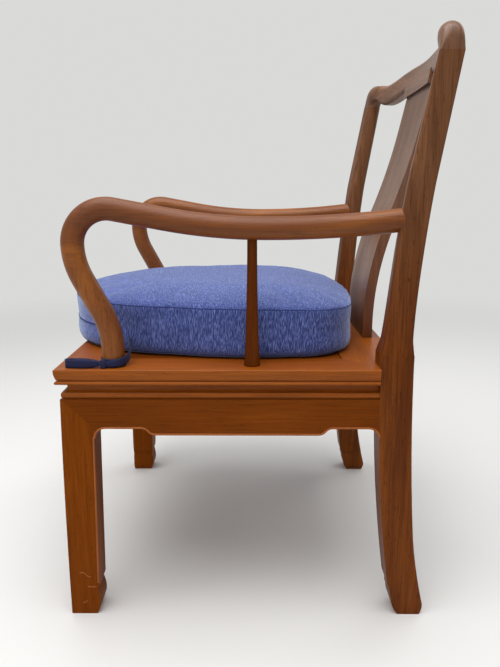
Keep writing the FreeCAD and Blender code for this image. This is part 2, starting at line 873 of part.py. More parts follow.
def side_mitre(body, name):
    sketch = new_sketch(body, name, "XY_Plane", rail_bottom)
    inside = leg_outer - d.apron_thick - d.overrun
    draw(sketch, [
        (leg_outer + d.overrun, leg_front - d.overrun),
        (inside, leg_front + d.apron_thick + d.overrun),
        (inside, leg_front - d.overrun),
    ])
    return pocket(body, sketch, d.waist_height + d.apron_end_drop + d.apron_ear)


def front_piece(name, section_role, corners, lift, length, mitred):
    body = new_body(name)
    sketch = new_sketch(body, f"{name}_section", section_role, lift)
    draw(sketch, corners)
    pad(body, sketch, length)
    if mitred:
        corner_mitre(body, f"{name}_mitre_left", 1)
        corner_mitre(body, f"{name}_mitre_right", -1)
    return body


def side_strip():
    body = new_body("side_strip")
    sketch = new_sketch(body, "side_strip_section", "XZ_Plane", -rear_leg_back)
    draw(sketch, waist_section(leg_outer, 1))
    pad(body, sketch, rear_leg_back - leg_front)
    side_mitre(body, "side_strip_mitre")
    return body


def apron_outline(left_end, right_end, left_leg, right_leg):
    """Both ends joined by the steps of the lower edge."""
    return [
        *left_end,
        *apron_steps(left_leg, 1),
        *backwards_through([*apron_steps(right_leg, -1)]),
        *backwards_through(right_end),
    ]


REAR_EAR_SHARE = 0.06          # how far the rear leg has swept back at the side apron's ear


def apron_side():
    body = new_body("apron_side")
    sketch = new_sketch(body, "apron_side_outline", "YZ_Plane", leg_outer - d.apron_thick)
    rear = d.rear_leg_front + d.rear_leg_sweep * REAR_EAR_SHARE
    rear_end = apron_straight_end(rear, -1)
    past = rear + d.overrun
    rear_end[:1] = [(past, apron_top), (past, apron_top - d.apron_end_drop - d.apron_ear)]
    draw(sketch, apron_outline(apron_mitred_end(leg_front, leg_back, 1), rear_end, leg_back, rear))
    pad(body, sketch, d.apron_thick)
    side_mitre(body, "apron_side_mitre")
    return body


def apron_front():
    body = new_body("apron_front")
    sketch = new_sketch(body, "apron_front_outline", "XZ_Plane", -leg_front - d.apron_thick)
    draw(sketch, apron_outline(
        apron_mitred_end(-leg_outer, -leg_inner, 1),
        apron_mitred_end(leg_outer, leg_inner, -1),
        -leg_inner, leg_inner))
    pad(body, sketch, d.apron_thick)
    corner_mitre(body, "apron_front_mitre_left", 1)
    corner_mitre(body, "apron_front_mitre_right", -1)
    return body


def apron_back():
    body = new_body("apron_back")
    sketch = new_sketch(body, "apron_back_outline", "XZ_Plane", d.seat_lip - back_rail_rear)
    draw(sketch, apron_outline(
        apron_straight_end(-leg_inner, 1), apron_straight_end(leg_inner, -1), -leg_inner, leg_inner))
    pad(body, sketch, d.apron_thick)
    return body


apron_back_face = back_rail_rear - d.seat_lip
keep("waist_front", front_piece("waist_front", "YZ_Plane", waist_section(leg_front, -1), -leg_outer,
                                leg_outer + leg_outer, True))
keep("waist_back", front_piece("waist_back", "YZ_Plane", waist_section(apron_back_face, 1), -leg_inner,
                               leg_inner + leg_inner, False))
keep("waist_left", scribed("waist_left", side_strip(), NODES["rear_leg_left"]))
keep("waist_right", mirrored(NODES["waist_left"], "waist_right"))
keep("apron_front", apron_front())
keep("apron_back", apron_back())
keep("apron_left", scribed("apron_left", apron_side(), NODES["rear_leg_left"]))
keep("apron_right", mirrored(NODES["apron_left"], "apron_right"))


# Arms: one round stick each, up a goose neck, over a bend and back to the post, scribed to it at its end
ARM_HEIGHT_SHARE = 0.465        # where the arm meets the post, as a share of the post's height


def arm():
    body = new_body("arm_stick")
    profile = new_sketch(body, "arm_round_profile", "XY_Plane", d.seat_top)
    draw_circle(profile, d.arm_round / 2, leg_centre, arm_foot_y)
    course = Course("arm", arm_foot_y, d.seat_top)
    course.run(d.neck_foot)
    course.bend(d.neck_low_radius, -d.neck_turn)
    course.run(d.neck_run)
    course.bend(d.neck_high_radius, ZERO)
    course.bend(d.knee_radius, RIGHT_ANGLE + d.fall_turn)
    course.run(d.arm_fall)
    course.bend(d.arm_sag_radius, RIGHT_ANGLE)
    level_y = course.stops[-1][0]
    end_y = derive("arm_end", post_centre(ARM_HEIGHT_SHARE))
    course.bend((end_y - level_y) / sine(d.rise_turn), RIGHT_ANGLE - d.rise_turn)
    spine = new_sketch(body, "arm_spine", "YZ_Plane", leg_centre)
    draw(spine, course.corners(), closed=False)
    pipe(body, profile, spine)
    tenon = new_sketch(body, "arm_tenon_square", "XY_Plane", d.seat_top)
    draw(tenon, square(d.arm_tenon, leg_centre, arm_foot_y))
    pad(body, tenon, d.tenon_length, backwards=True)
    return body


# Spindles: turned props between the side rails and the arms, coped under the arm
SPINDLE_SHARES = {
    # the collar: height and width as shares of the foot; the middle of the shaft as shares of the whole
    "collar_up": 0.16,
    "collar_in": 0.93,
    "middle": (0.68, 0.45),
}


def spindle():
    body = new_body("spindle_stick")
    sketch = new_sketch(body, "spindle_outline", "YZ_Plane", leg_centre,
                        across=d.spindle_place, up=d.seat_top)
    foot = d.spindle_foot / 2
    neck = d.spindle_neck / 2
    shares = SPINDLE_SHARES
    collar = d.spindle_foot * shares["collar_up"]
    rise = derive("spindle_rise", spindle_top - d.seat_top)
    draw(sketch, [
        (ZERO, ZERO),
        (foot, ZERO),
        (foot, collar),
        (foot * shares["collar_in"], collar),
        (neck, rise, foot * shares["middle"][0], rise * shares["middle"][1]),
        (ZERO, rise),
    ])
    feature = body.newObject("PartDesign::Revolution", "spindle_turning")
    feature.Profile = sketch
    feature.ReferenceAxis = (sketch, ["V_Axis"])
    doc.recompute()
    tenon = new_sketch(body, "spindle_tenon_square", "XY_Plane", d.seat_top)
    draw(tenon, square(d.spindle_tenon, leg_centre, d.spindle_place))
    pad(body, tenon, d.tenon_length, backwards=True)
    return body


spindle_top = d.seat_top + (post_joint - d.seat_top) * ARM_HEIGHT_SHARE
keep("arm_left", scribed("arm_left", arm(), NODES["rear_leg_left"]))
keep("arm_right", mirrored(NODES["arm_left"], "arm_right"))
keep("arm_spindle_left", scribed("arm_spindle_left", spindle(), NODES["arm_left"]))
keep("arm_spindle_right", mirrored(NODES["arm_spindle_left"], "arm_spindle_right"))


# Crest rail: one bowed rail whose ends turn down onto the posts, with a lip below its middle for the splat
CREST_STATION_SHARES = [
    # from the middle outwards: place, drop below the top, height, growth from the middle's thickness to the
    # posts' one, corner radius
    (0.0, 0.037, 1.0, 0.0, 0.25),
    (0.39, 0.065, 1.0, 0.1, 0.27),
    (0.558, 0.197, 1.02, 0.22, 0.3),
    (0.743, 0.276, 1.01, 0.36, 0.34),
    (0.836, 0.094, 0.91, 0.5, 0.38),
]


def crest_section(body, name, place, turn, width, depth, radius, outer, taper, tilt):
    """A rounded section square to the rail's run: its first side points up and out, its second back."""
    across, lift, back = place
    sketch = new_sketch(body, name, "XY_Plane", lift, Rotation(Vector(0, 1, 0), -turn), across, back)
    turned = []
    for corner in rounded(width, depth, radius, outer=outer, taper=taper):
        pairs = zip(corner[::2], corner[1::2])
        turned.append(tuple(value for u, v in pairs for value in (
            u * cosine(tilt) - v * sine(tilt), u * sine(tilt) + v * cosine(tilt))))
    draw(sketch, turned)
    return sketch


CREST_ELBOW_SHARES = [
    # turn from the run of the rail down to the post as a share of a right angle, set back as a share
    # of the bow, height as a share of the post's thickness, growth, corner radii below, above in front and
    # above behind, and taper
    (0.0, 0.12, 1.0, 0.6, 0.44, 0.44, 0.44, 0.0),
    (0.5, 0.05, 1.16, 0.95, 0.38, 0.42, 0.4, 0.06),
    (0.75, 0.025, 1.07, 1.0, 0.34, 0.25, 0.23, 0.14),
    (1.0, 0.0, 1.0, 1.0, *POST_STATION_SHARES[-1][3:]),
]


def crest_stations():
    """The sections of the left half, from the middle out and down to the post."""
    growth = post_top_width - d.crest_thick
    found = []
    for share, drop, tall, thick, corner in CREST_STATION_SHARES:
        place = (leg_centre * share,
                 d.overall_height - d.crest_height / 2 - d.crest_height * drop,
                 post_top_y + d.crest_bow * (1 - share * share))
        depth = d.crest_thick + growth * thick
        size = (d.crest_height * tall, depth, depth * corner, None, 0, d.crest_tilt * (1 - share))
        found.append((place, RIGHT_ANGLE.number, size))
    for turned, back, tall, thick, inside, front, rear, taper in CREST_ELBOW_SHARES:
        turn = RIGHT_ANGLE.number * (1 - turned)
        reach = d.crest_elbow + post_top_thick * (tall - 1) / 2
        place = (leg_centre - d.crest_elbow + reach * math.cos(math.radians(turn)),
                 post_joint + reach * math.sin(math.radians(turn)),
                 post_top_y + d.crest_bow * back)
        depth = d.crest_thick + growth * thick
        outer = (depth * front, depth * rear)
        found.append((place, turn, (post_top_thick * tall, depth, depth * inside, outer, taper, ZERO)))
    return found


def crest_rail():
    body = new_body("crest_rail")
    half = crest_stations()
    sections = []
    for side, stations in ((1, half[::-1]), (-1, half[1:])):
        for (across, lift, back), turn, size in stations:
            turn = turn if side > 0 else RIGHT_ANGLE.number + RIGHT_ANGLE.number - turn
            name = f"crest_section_{len(sections)}"
            sections.append(crest_section(body, name, (across * side, lift, back), turn, *size))
    knee = len(CREST_ELBOW_SHARES)
    loft(body, sections[knee:-knee], "crest")
    loft(body, sections[:knee + 1], "elbow_left")
    loft(body, sections[-knee - 1:], "elbow_right")
    return body


keep("crest_rail", crest_rail())


# Splat: a bent board between the back rail and the lip of the crest rail, tongued into both
def splat():
    body = new_body("splat")
    foot_y = d.rear_leg_front + d.splat_foot
    course = Course("splat", foot_y, d.seat_top)
    course.run(d.splat_rise)
    course.bend(d.splat_low_radius, d.splat_lean)
    low_end = course.stops[-1][1]
    upper_radius = (d.splat_straight_from - low_end) / (sine(d.splat_lean) - sine(d.splat_top_lean))
    course.bend(upper_radius, d.splat_top_lean)
    course.run((tab_bottom - course.stops[-1][1]) / cosine(d.splat_top_lean))
    top_y = course.stops[-1][0]
    across_top = d.splat_thick / cosine(d.splat_top_lean)
    sketch = new_sketch(body, "splat_side", "YZ_Plane", -d.splat_half)
    draw(sketch, [
        *course.corners(),
        (top_y + across_top, tab_bottom),
        *backwards_through(course.corners(d.splat_thick))[1:],
    ])
    pad(body, sketch, d.splat_half + d.splat_half)
    upper = new_sketch(body, "splat_upper_tongue", "XY_Plane", tab_bottom)
    draw(upper, square(splat_tongue_width, ZERO, top_y + across_top / 2, d.splat_tongue_thick))
    pad(body, upper, d.splat_tongue)
    lower = new_sketch(body, "splat_lower_tongue", "XY_Plane", d.seat_top)
    draw(lower, square(splat_tongue_width, ZERO, splat_foot_y, d.splat_tongue_thick))
    pad(body, lower, d.splat_tongue, backwards=True)
    return body, top_y, across_top


def crest_details(body, splat_top_y, splat_across):
    """The lip for the splat, its slot, and the sockets for the posts' tenons."""
    rear_y = splat_top_y + d.tab_thick
    sections = []
    for name, rise, proud, bow in TAB_SHARES:
        section = new_sketch(body, f"crest_tab_{name}", "XY_Plane", tab_bottom + d.crest_tab * rise)
        side_y = splat_top_y - d.splat_thick * proud
        draw(section, [
            (-d.splat_half, rear_y),
            (-d.splat_half, side_y),
            (d.splat_half, side_y, ZERO, side_y + d.crest_bow * bow),
            (d.splat_half, rear_y),
        ])
        sections.append(section)
    loft(body, sections, "crest_tab", ruled=True)
    slot = new_sketch(body, "splat_slot", "XY_Plane", tab_bottom)
    draw(slot, square(splat_tongue_width + d.tongue_slack, ZERO, splat_top_y + splat_across / 2,
                      d.splat_tongue_thick + d.tongue_slack))
    pocket(body, slot, d.splat_tongue + d.tongue_slack, backwards=True)
    for side, name in ((1, "left"), (-1, "right")):
        socket = new_sketch(body, f"post_socket_{name}", "XY_Plane", post_joint)
        draw(socket, square(d.post_tenon + d.tongue_slack, side * leg_centre, post_top_y))
        pocket(body, socket, d.tenon_length + d.tongue_slack, backwards=True)


TAB_SHARES = [
    # the lip's lower and upper outline: up as a share of its reach below the posts' joints, proud of the
    # splat as a share of the splat's thickness, bow as a share of the rail's
    ("low", 0.0, 0.42, 0.041),
    ("high", 3.0, 0.2, 0.076),
]
tab_bottom = post_joint - d.crest_tab
splat_body, splat_top_y, splat_across = splat()
crest_details(NODES["crest_rail"], splat_top_y, splat_across)
keep("splat", splat_body)


# Cushion: a boxed seat pad whose sides draw in between the seams, with a crowned top
CUSHION_OUTLINE_SHARES = [
    # one half from the front to the back: across as shares of the half width, back as shares of the
    # depth, then the same two for a point of the arc that ends there
    (0.549, 0.074, 0.0, 0.0),
    (0.910, 0.379, 0.754, 0.172),
    (0.975, 0.780, 1.0, 0.619),
    (0.615, 0.976, 0.881, 0.910),
]
CUSHION_STATION_SHARES = [
    # up as a share of the boxing, up as a share of the crown, size of the outline
    (0.0, 0.0, 0.955),
    (0.03, 0.0, 0.975),
    (0.09, 0.0, 0.992),
    (0.18, 0.0, 1.0),
    (0.5, 0.0, 0.988),
    (0.88, 0.0, 0.998),
    (1.0, 0.0, 0.994),
    (1.0, 0.4, 0.955),
    (1.0, 0.75, 0.86),
    (1.0, 0.94, 0.68),
    (1.0, 1.0, 0.35),
]


def cushion():
    body = new_body("cushion")
    depth = cushion_front + cushion_rear
    middle = (cushion_rear - cushion_front) / 2
    sections = []
    for index, (boxing, crown, size) in enumerate(CUSHION_STATION_SHARES):
        def place(across, back):
            return cushion_half * (across * size), middle + depth * (back * size) - depth * size / 2

        right = [place(*point[:2]) for point in CUSHION_OUTLINE_SHARES]
        ways = [place(*point[2:]) for point in CUSHION_OUTLINE_SHARES]
        left = [(-across, back) for across, back in right]
        left_ways = [(-across, back) for across, back in ways]
        lift = d.seat_top + d.soft_clear + d.cushion_boxing * boxing + d.cushion_crown * crown
        section = new_sketch(body, f"cushion_section_{index}", "XY_Plane", lift)
        draw(section, [
            (*right[0], *ways[0]),
            (*right[1], *ways[1]),
            (*right[2], *ways[2]),
            (*right[3], *ways[3]),
            (*left[3], *place(0.0, 1.0)),
            (*left[2], *left_ways[3]),
            (*left[1], *left_ways[2]),
            (*left[0], *left_ways[1]),
        ])
        sections.append(section)
    loft(body, sections, "cushion", ruled=True)
    return body


# Ties: a tape round the foot of each arm, with a knot, a loop over the corner and a strap to the cushion
def cushion_tie():
    body = new_body("cushion_tie_left")
    base = d.seat_top + d.soft_clear
    inner = d.arm_round / 2 + d.soft_clear
    ring = new_sketch(body, "tie_ring", "XY_Plane", base)
    draw_circle(ring, inner, leg_centre, arm_foot_y)
    draw_circle(ring, inner + d.tape_thick, leg_centre, arm_foot_y)
    pad(body, ring, d.tape_width)
    knot_reach = (inner + d.knot_size / 2) * (1 - CORNER_SHARE)
    knot_x = leg_centre + knot_reach
    knot_y = arm_foot_y - knot_reach
    knot = new_sketch(body, "tie_knot", "XY_Plane", base)
    draw_circle(knot, d.knot_size / 2, knot_x, knot_y)
    pad(body, knot, d.tape_width)
    loop = new_sketch(body, "tie_loop", "XY_Plane", base)
    loop_y = knot_y - d.loop_length / 2
    draw(loop, rounded(d.loop_width, d.loop_length, d.loop_width * LOOP_ROUND_SHARE, knot_x, loop_y))
    tape = d.tape_thick + d.tape_thick
    inside = d.loop_width - tape
    draw(loop, rounded(inside, d.loop_length - tape, inside * LOOP_ROUND_SHARE, knot_x, loop_y))
    pad(body, loop, d.tape_width)
    strap = new_sketch(body, "tie_strap", "XY_Plane", base)
    near_ring = leg_centre - inner - d.tape_thick / 2
    at_cushion = cushion_half * STRAP_END_SHARE
    draw(strap, square(near_ring - at_cushion, (near_ring + at_cushion) / 2, arm_foot_y, d.tape_thick))
    pad(body, strap, d.tape_width)
    return body


LOOP_ROUND_SHARE = 0.48
STRAP_END_SHARE = 0.82
keep("cushion", cushion())
keep("cushion_tie_left", cushion_tie())
keep("cushion_tie_right", mirrored(NODES["cushion_tie_left"], "cushion_tie_right"))


# Every sub-part is checked, then written out
doc.recompute()
for item in doc.Objects:
    if {"Invalid", "Error"} & set(item.State):
        raise ValueError(f"{item.Name}: {item.State}")
os.makedirs("parts", exist_ok=True)
for name, node in NODES.items():
    shape = node.Shape
    if shape.isNull() or not shape.isValid() or len(shape.Solids) != 1:
        raise ValueError(f"{name} is not one sound solid")
    shape.exportStep(f"parts/{name}.step")
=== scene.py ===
import math

import bmesh
import bpy
from mathutils import Matrix, Vector


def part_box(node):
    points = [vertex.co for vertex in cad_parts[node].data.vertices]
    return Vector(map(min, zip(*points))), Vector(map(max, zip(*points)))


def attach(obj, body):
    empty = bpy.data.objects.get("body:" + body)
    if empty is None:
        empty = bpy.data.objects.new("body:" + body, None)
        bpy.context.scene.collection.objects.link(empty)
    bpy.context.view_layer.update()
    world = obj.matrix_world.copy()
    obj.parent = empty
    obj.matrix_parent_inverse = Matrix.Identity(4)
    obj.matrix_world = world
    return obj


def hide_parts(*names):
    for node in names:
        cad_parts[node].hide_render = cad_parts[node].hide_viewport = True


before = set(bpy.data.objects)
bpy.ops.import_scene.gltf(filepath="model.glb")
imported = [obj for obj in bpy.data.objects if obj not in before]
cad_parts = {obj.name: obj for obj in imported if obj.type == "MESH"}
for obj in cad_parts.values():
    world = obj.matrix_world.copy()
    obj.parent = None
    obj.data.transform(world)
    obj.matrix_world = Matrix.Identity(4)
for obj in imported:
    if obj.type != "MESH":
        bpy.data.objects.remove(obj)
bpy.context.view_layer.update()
scene = bpy.context.scene
scene.view_settings.view_transform = "Standard"

# Camera: a little over a metre from the middle of the chair, on its left side and just above its arms,
# looking slightly down. The lens shows the frame of 500 by 667 pixels with a focal length of 610 pixels.
PICTURE_HEIGHT = 667
FOCAL_PIXELS = 610
SENSOR_HEIGHT = 36
CAMERA_PLACE = Vector((1.1635, -0.0051, 0.6646))
LOOK_DOWN = math.radians(12.644)
LOOK_ASIDE = math.radians(-0.2475)

camera_data = bpy.data.cameras.new("camera")
camera_data.sensor_fit = "VERTICAL"
camera_data.sensor_height = SENSOR_HEIGHT
camera_data.lens = SENSOR_HEIGHT * FOCAL_PIXELS / PICTURE_HEIGHT
camera = bpy.data.objects.new("camera", camera_data)
scene.collection.objects.link(camera)
forward = Vector((-math.cos(LOOK_DOWN) * math.cos(LOOK_ASIDE),
                  math.cos(LOOK_DOWN) * math.sin(LOOK_ASIDE),
                  -math.sin(LOOK_DOWN)))
aside = forward.cross(Vector((0, 0, 1))).normalized()
upward = aside.cross(forward)
camera.matrix_world = Matrix.Translation(CAMERA_PLACE) @ Matrix((aside, upward, -forward)).transposed().to_4x4()
scene.camera = camera

# Floor and light: a pale floor that fades into an equally pale surround, a large soft ceiling light, and two
# weak ones from the sides.
BACKDROP = (0.70, 0.705, 0.69, 1)
FADE_FROM = 1.2
FADE_TO = 3.4


def add_node(tree, kind, place, **values):
    node = tree.nodes.new(kind)
    node.location = place
    for name, value in values.items():
        setattr(node, name, value)
    return node


def new_material(name):
    """A new material, its node tree and its shader."""
    material = bpy.data.materials.new(name)
    material.use_nodes = True
    tree = material.node_tree
    return material, tree, tree.nodes["Principled BSDF"]


def seen_directly(tree, place):
    """One where the camera or a reflection looks straight at the surface, and nought for other light."""
    path = add_node(tree, "ShaderNodeLightPath", place)
    seen = add_node(tree, "ShaderNodeMath", (place[0] + 200, place[1]), operation="MAXIMUM")
    tree.links.new(path.outputs["Is Camera Ray"], seen.inputs[0])
    tree.links.new(path.outputs["Is Glossy Ray"], seen.inputs[1])
    return seen.outputs[0]


floor_material, floor_tree, floor_shader = new_material("pale_floor")
floor_shader.inputs["Base Color"].default_value = (0.74, 0.73, 0.71, 1)
floor_shader.inputs["Roughness"].default_value = 0.6
floor_place = add_node(floor_tree, "ShaderNodeTexCoord", (-900, 200))
floor_distance = add_node(floor_tree, "ShaderNodeVectorMath", (-700, 200), operation="LENGTH")
floor_fade = add_node(floor_tree, "ShaderNodeMapRange", (-500, 200), interpolation_type="SMOOTHSTEP")
floor_fade.inputs["From Min"].default_value = FADE_FROM
floor_fade.inputs["From Max"].default_value = FADE_TO
floor_share = add_node(floor_tree, "ShaderNodeMath", (-200, 200), operation="MULTIPLY")
floor_glow = add_node(floor_tree, "ShaderNodeEmission", (0, -200))
floor_glow.inputs["Color"].default_value = BACKDROP
floor_mix = add_node(floor_tree, "ShaderNodeMixShader", (300, 200))
floor_tree.links.new(floor_place.outputs["Object"], floor_distance.inputs[0])
floor_tree.links.new(floor_distance.outputs["Value"], floor_fade.inputs["Value"])
floor_tree.links.new(floor_fade.outputs["Result"], floor_share.inputs[0])
floor_tree.links.new(seen_directly(floor_tree, (-700, -100)), floor_share.inputs[1])
floor_tree.links.new(floor_share.outputs[0], floor_mix.inputs["Fac"])
floor_tree.links.new(floor_shader.outputs["BSDF"], floor_mix.inputs[1])
floor_tree.links.new(floor_glow.outputs["Emission"], floor_mix.inputs[2])
floor_tree.links.new(floor_mix.outputs["Shader"], floor_tree.nodes["Material Output"].inputs["Surface"])
bpy.ops.object.select_all(action="DESELECT")
bpy.ops.mesh.primitive_plane_add(size=12, location=(0, 0, 0))
floor = bpy.context.object
floor.name = "floor"
floor.data.materials.append(floor_material)

for name, place, size, power in (
        ("ceiling_light", (0.5, -0.3, 2.6), 2.4, 78),
        ("side_light", (2.4, -1.2, 1.5), 1.6, 9),
        ("rear_light", (-1.6, 1.8, 1.8), 1.4, 9)):
    lamp_data = bpy.data.lights.new(name, "AREA")
    lamp_data.size = size
    lamp_data.energy = power
    lamp = bpy.data.objects.new(name, lamp_data)
    lamp.location = place
    lamp.rotation_euler = (Vector((0, 0, 0.4)) - Vector(place)).to_track_quat("-Z", "Y").to_euler()
    scene.collection.objects.link(lamp)

world = bpy.data.worlds.new("surroundings")
world.use_nodes = True
surround = world.node_tree.nodes["Background"]
surround.inputs["Color"].default_value = (0.95, 0.97, 1.0, 1)
surround.inputs["Strength"].default_value = 0.47
backdrop = add_node(world.node_tree, "ShaderNodeBackground", (0, -200))
backdrop.inputs["Color"].default_value = BACKDROP
surround_mix = add_node(world.node_tree, "ShaderNodeMixShader", (300, 0))
world.node_tree.links.new(seen_directly(world.node_tree, (-300, 300)), surround_mix.inputs["Fac"])
world.node_tree.links.new(surround.outputs["Background"], surround_mix.inputs[1])
world.node_tree.links.new(backdrop.outputs["Background"], surround_mix.inputs[2])
world.node_tree.links.new(surround_mix.outputs["Shader"], world.node_tree.nodes["World Output"].inputs["Surface"])
scene.world = world

# Woodwork: every rail, leg, arm, strip and panel is cut from one orange-brown hardwood and finished with a
# thin satin polish. Each piece has its grain along its own length, and its own part of the figure.
def build_wood_figure():
    """Colour, gloss and relief of polished hardwood whose grain runs along Z."""
    group = bpy.data.node_groups.new("wood_figure", "ShaderNodeTree")
    face = group.interface
    face.new_socket("Vector", in_out="INPUT", socket_type="NodeSocketVector")
    for name in ("Pale", "Deep", "Pore"):
        face.new_socket(name, in_out="INPUT", socket_type="NodeSocketColor")
    for name in ("Mottle", "Streaks", "Flecks"):
        face.new_socket(name, in_out="INPUT", socket_type="NodeSocketFloat")
    face.new_socket("Color", in_out="OUTPUT", socket_type="NodeSocketColor")
    face.new_socket("Roughness", in_out="OUTPUT", socket_type="NodeSocketFloat")
    face.new_socket("Height", in_out="OUTPUT", socket_type="NodeSocketFloat")
    link = group.links.new
    given = add_node(group, "NodeGroupInput", (-1200, 0))
    put = add_node(group, "NodeGroupOutput", (900, 0))

    def figure(scale, noise_scale, detail, distortion, place):
        stretch = add_node(group, "ShaderNodeMapping", (-1000, place))
        stretch.inputs["Scale"].default_value = scale
        noise = add_node(group, "ShaderNodeTexNoise", (-780, place))
        noise.inputs["Scale"].default_value = noise_scale
        noise.inputs["Detail"].default_value = detail
        noise.inputs["Distortion"].default_value = distortion
        link(given.outputs["Vector"], stretch.inputs["Vector"])
        link(stretch.outputs["Vector"], noise.inputs["Vector"])
        return noise.outputs["Fac"]

    def ramp(source, low, high, place):
        change = add_node(group, "ShaderNodeMapRange", (-540, place), interpolation_type="SMOOTHSTEP")
        change.inputs["From Min"].default_value = low
        change.inputs["From Max"].default_value = high
        link(source, change.inputs["Value"])
        return change.outputs["Result"]

    def mixed(share, first, second, place):
        mix = add_node(group, "ShaderNodeMix", place, data_type="RGBA")
        link(share, mix.inputs["Factor"])
        link(first, mix.inputs["A"])
        link(second, mix.inputs["B"])
        return mix.outputs["Result"]

    def times(first, second, place, operation="MULTIPLY"):
        product = add_node(group, "ShaderNodeMath", place, operation=operation)
        link(first, product.inputs[0])
        if isinstance(second, float):
            product.inputs[1].default_value = second
        else:
            link(second, product.inputs[1])
        return product.outputs[0]

    cloud = ramp(figure((1, 1, 0.22), 11, 2, 0.6, 500), 0.34, 0.68, 500)
    bands = ramp(figure((1, 1, 0.05), 95, 3, 0.35, 200), 0.36, 0.66, 200)
    streaks = ramp(figure((1, 1, 0.045), 330, 2, 0.1, 0), 0.44, 0.7, 0)
    fibre = figure((1, 1, 0.02), 900, 2, 0.0, -200)
    flecks = ramp(figure((1, 1, 0.16), 520, 1, 0.0, -400), 0.66, 0.74, -400)
    tone = mixed(times(cloud, given.outputs["Mottle"], (-300, 500)),
                 given.outputs["Pale"], given.outputs["Deep"], (-100, 400))
    banded = mixed(times(bands, given.outputs["Streaks"], (-300, 300)), tone, given.outputs["Deep"], (50, 300))
    streaked = mixed(times(times(streaks, given.outputs["Streaks"], (-300, 100)), 0.55, (-150, 100)),
                     banded, given.outputs["Pore"], (200, 250))
    fibrous = mixed(times(ramp(fibre, 0.42, 0.72, -200), 0.2, (-300, -100)), streaked, given.outputs["Pore"],
                    (350, 200))
    flecked = mixed(times(flecks, given.outputs["Flecks"], (-300, -400)), fibrous, given.outputs["Pore"],
                    (500, 200))
    link(flecked, put.inputs["Color"])
    gloss = add_node(group, "ShaderNodeMapRange", (500, -100))
    gloss.inputs["To Min"].default_value = 0.28
    gloss.inputs["To Max"].default_value = 0.46
    link(times(fibre, cloud, (300, -100), "MAXIMUM"), gloss.inputs["Value"])
    link(gloss.outputs["Result"], put.inputs["Roughness"])
    relief = times(times(fibre, 0.6, (100, -300)), times(flecks, 0.8, (100, -450)), (300, -350), "SUBTRACT")
    link(relief, put.inputs["Height"])
    return group


wood_figure = build_wood_figure()
UPRIGHT = (0, 0, 0)
ACROSS = (0, math.radians(90), 0)
FRONT_TO_BACK = (math.radians(90), 0, 0)
FIGURE_STEP = Vector((0.37, 0.23, 0.31))
# Heights between which the upper wood turns to its paler colours, a painted reflection of the bright room.
REFLECTION_FROM = 0.40
REFLECTION_TO = 0.74


def paler_upwards_for_reflection(tree, place, lower, upper):
    """One colour up to the seat and a paler, greyer one near the top: a painted reflection of the bright room in
    the polish.
    """
    where = add_node(tree, "ShaderNodeTexCoord", place)
    parts = add_node(tree, "ShaderNodeSeparateXYZ", (place[0] + 200, place[1]))
    share = add_node(tree, "ShaderNodeMapRange", (place[0] + 400, place[1]), interpolation_type="SMOOTHSTEP")
    share.inputs["From Min"].default_value = REFLECTION_FROM
    share.inputs["From Max"].default_value = REFLECTION_TO
    mix = add_node(tree, "ShaderNodeMix", (place[0] + 600, place[1]), data_type="RGBA")
    mix.inputs["A"].default_value = lower
    mix.inputs["B"].default_value = upper
    tree.links.new(where.outputs["Object"], parts.inputs["Vector"])
    tree.links.new(parts.outputs["Z"], share.inputs["Value"])
    tree.links.new(share.outputs["Result"], mix.inputs["Factor"])
    return mix.outputs["Result"]


def figure_on(tree, place, grain, order, looks, reflection_looks):
    """One wood figure on a piece, whose coordinates are turned so that the grain runs along the piece."""
    where = add_node(tree, "ShaderNodeTexCoord", place)
    turn = add_node(tree, "ShaderNodeMapping", (place[0] + 200, place[1]))
    turn.inputs["Location"].default_value = FIGURE_STEP * order
    turn.inputs["Rotation"].default_value = grain
    figure = add_node(tree, "ShaderNodeGroup", (place[0] + 420, place[1]), node_tree=wood_figure)
    for socket, value in looks.items():
        figure.inputs[socket].default_value = value
    # With reflection looks given, the pale and deep colours turn paler towards the top: painted reflection.
    for row, socket in enumerate(("Pale", "Deep")):
        if reflection_looks:
            colour = paler_upwards_for_reflection(tree, (place[0] - 800, place[1] - 200 * row), looks[socket], reflection_looks[socket])
            tree.links.new(colour, figure.inputs[socket])
    tree.links.new(where.outputs["Object"], turn.inputs["Vector"])
    tree.links.new(turn.outputs["Vector"], figure.inputs["Vector"])
    return figure.outputs


def turned_grain(tree, run, bend, axis, start, end):
    """The grain of a bent piece: it runs one way up to a place along an axis, and upright beyond it."""
    where = add_node(tree, "ShaderNodeTexCoord", (-900, -900))
    parts = add_node(tree, "ShaderNodeSeparateXYZ", (-700, -900))
    outward = add_node(tree, "ShaderNodeMath", (-500, -900), operation="ABSOLUTE")
    share = add_node(tree, "ShaderNodeMapRange", (-300, -900), interpolation_type="SMOOTHSTEP")
    share.inputs["From Min"].default_value = start
    share.inputs["From Max"].default_value = end
    tree.links.new(where.outputs["Object"], parts.inputs["Vector"])
    tree.links.new(parts.outputs[axis], outward.inputs[0])
    tree.links.new(outward.outputs[0], share.inputs["Value"])
    found = {}
    for row, (name, kind) in enumerate((("Color", "RGBA"), ("Roughness", "FLOAT"), ("Height", "FLOAT"))):
        mix = add_node(tree, "ShaderNodeMix", (-200, -200 * row), data_type=kind)
        tree.links.new(share.outputs["Result"], mix.inputs["Factor"])
        tree.links.new(run[name], mix.inputs["A"])
        tree.links.new(bend[name], mix.inputs["B"])
        found[name] = mix.outputs["Result"]
    return found


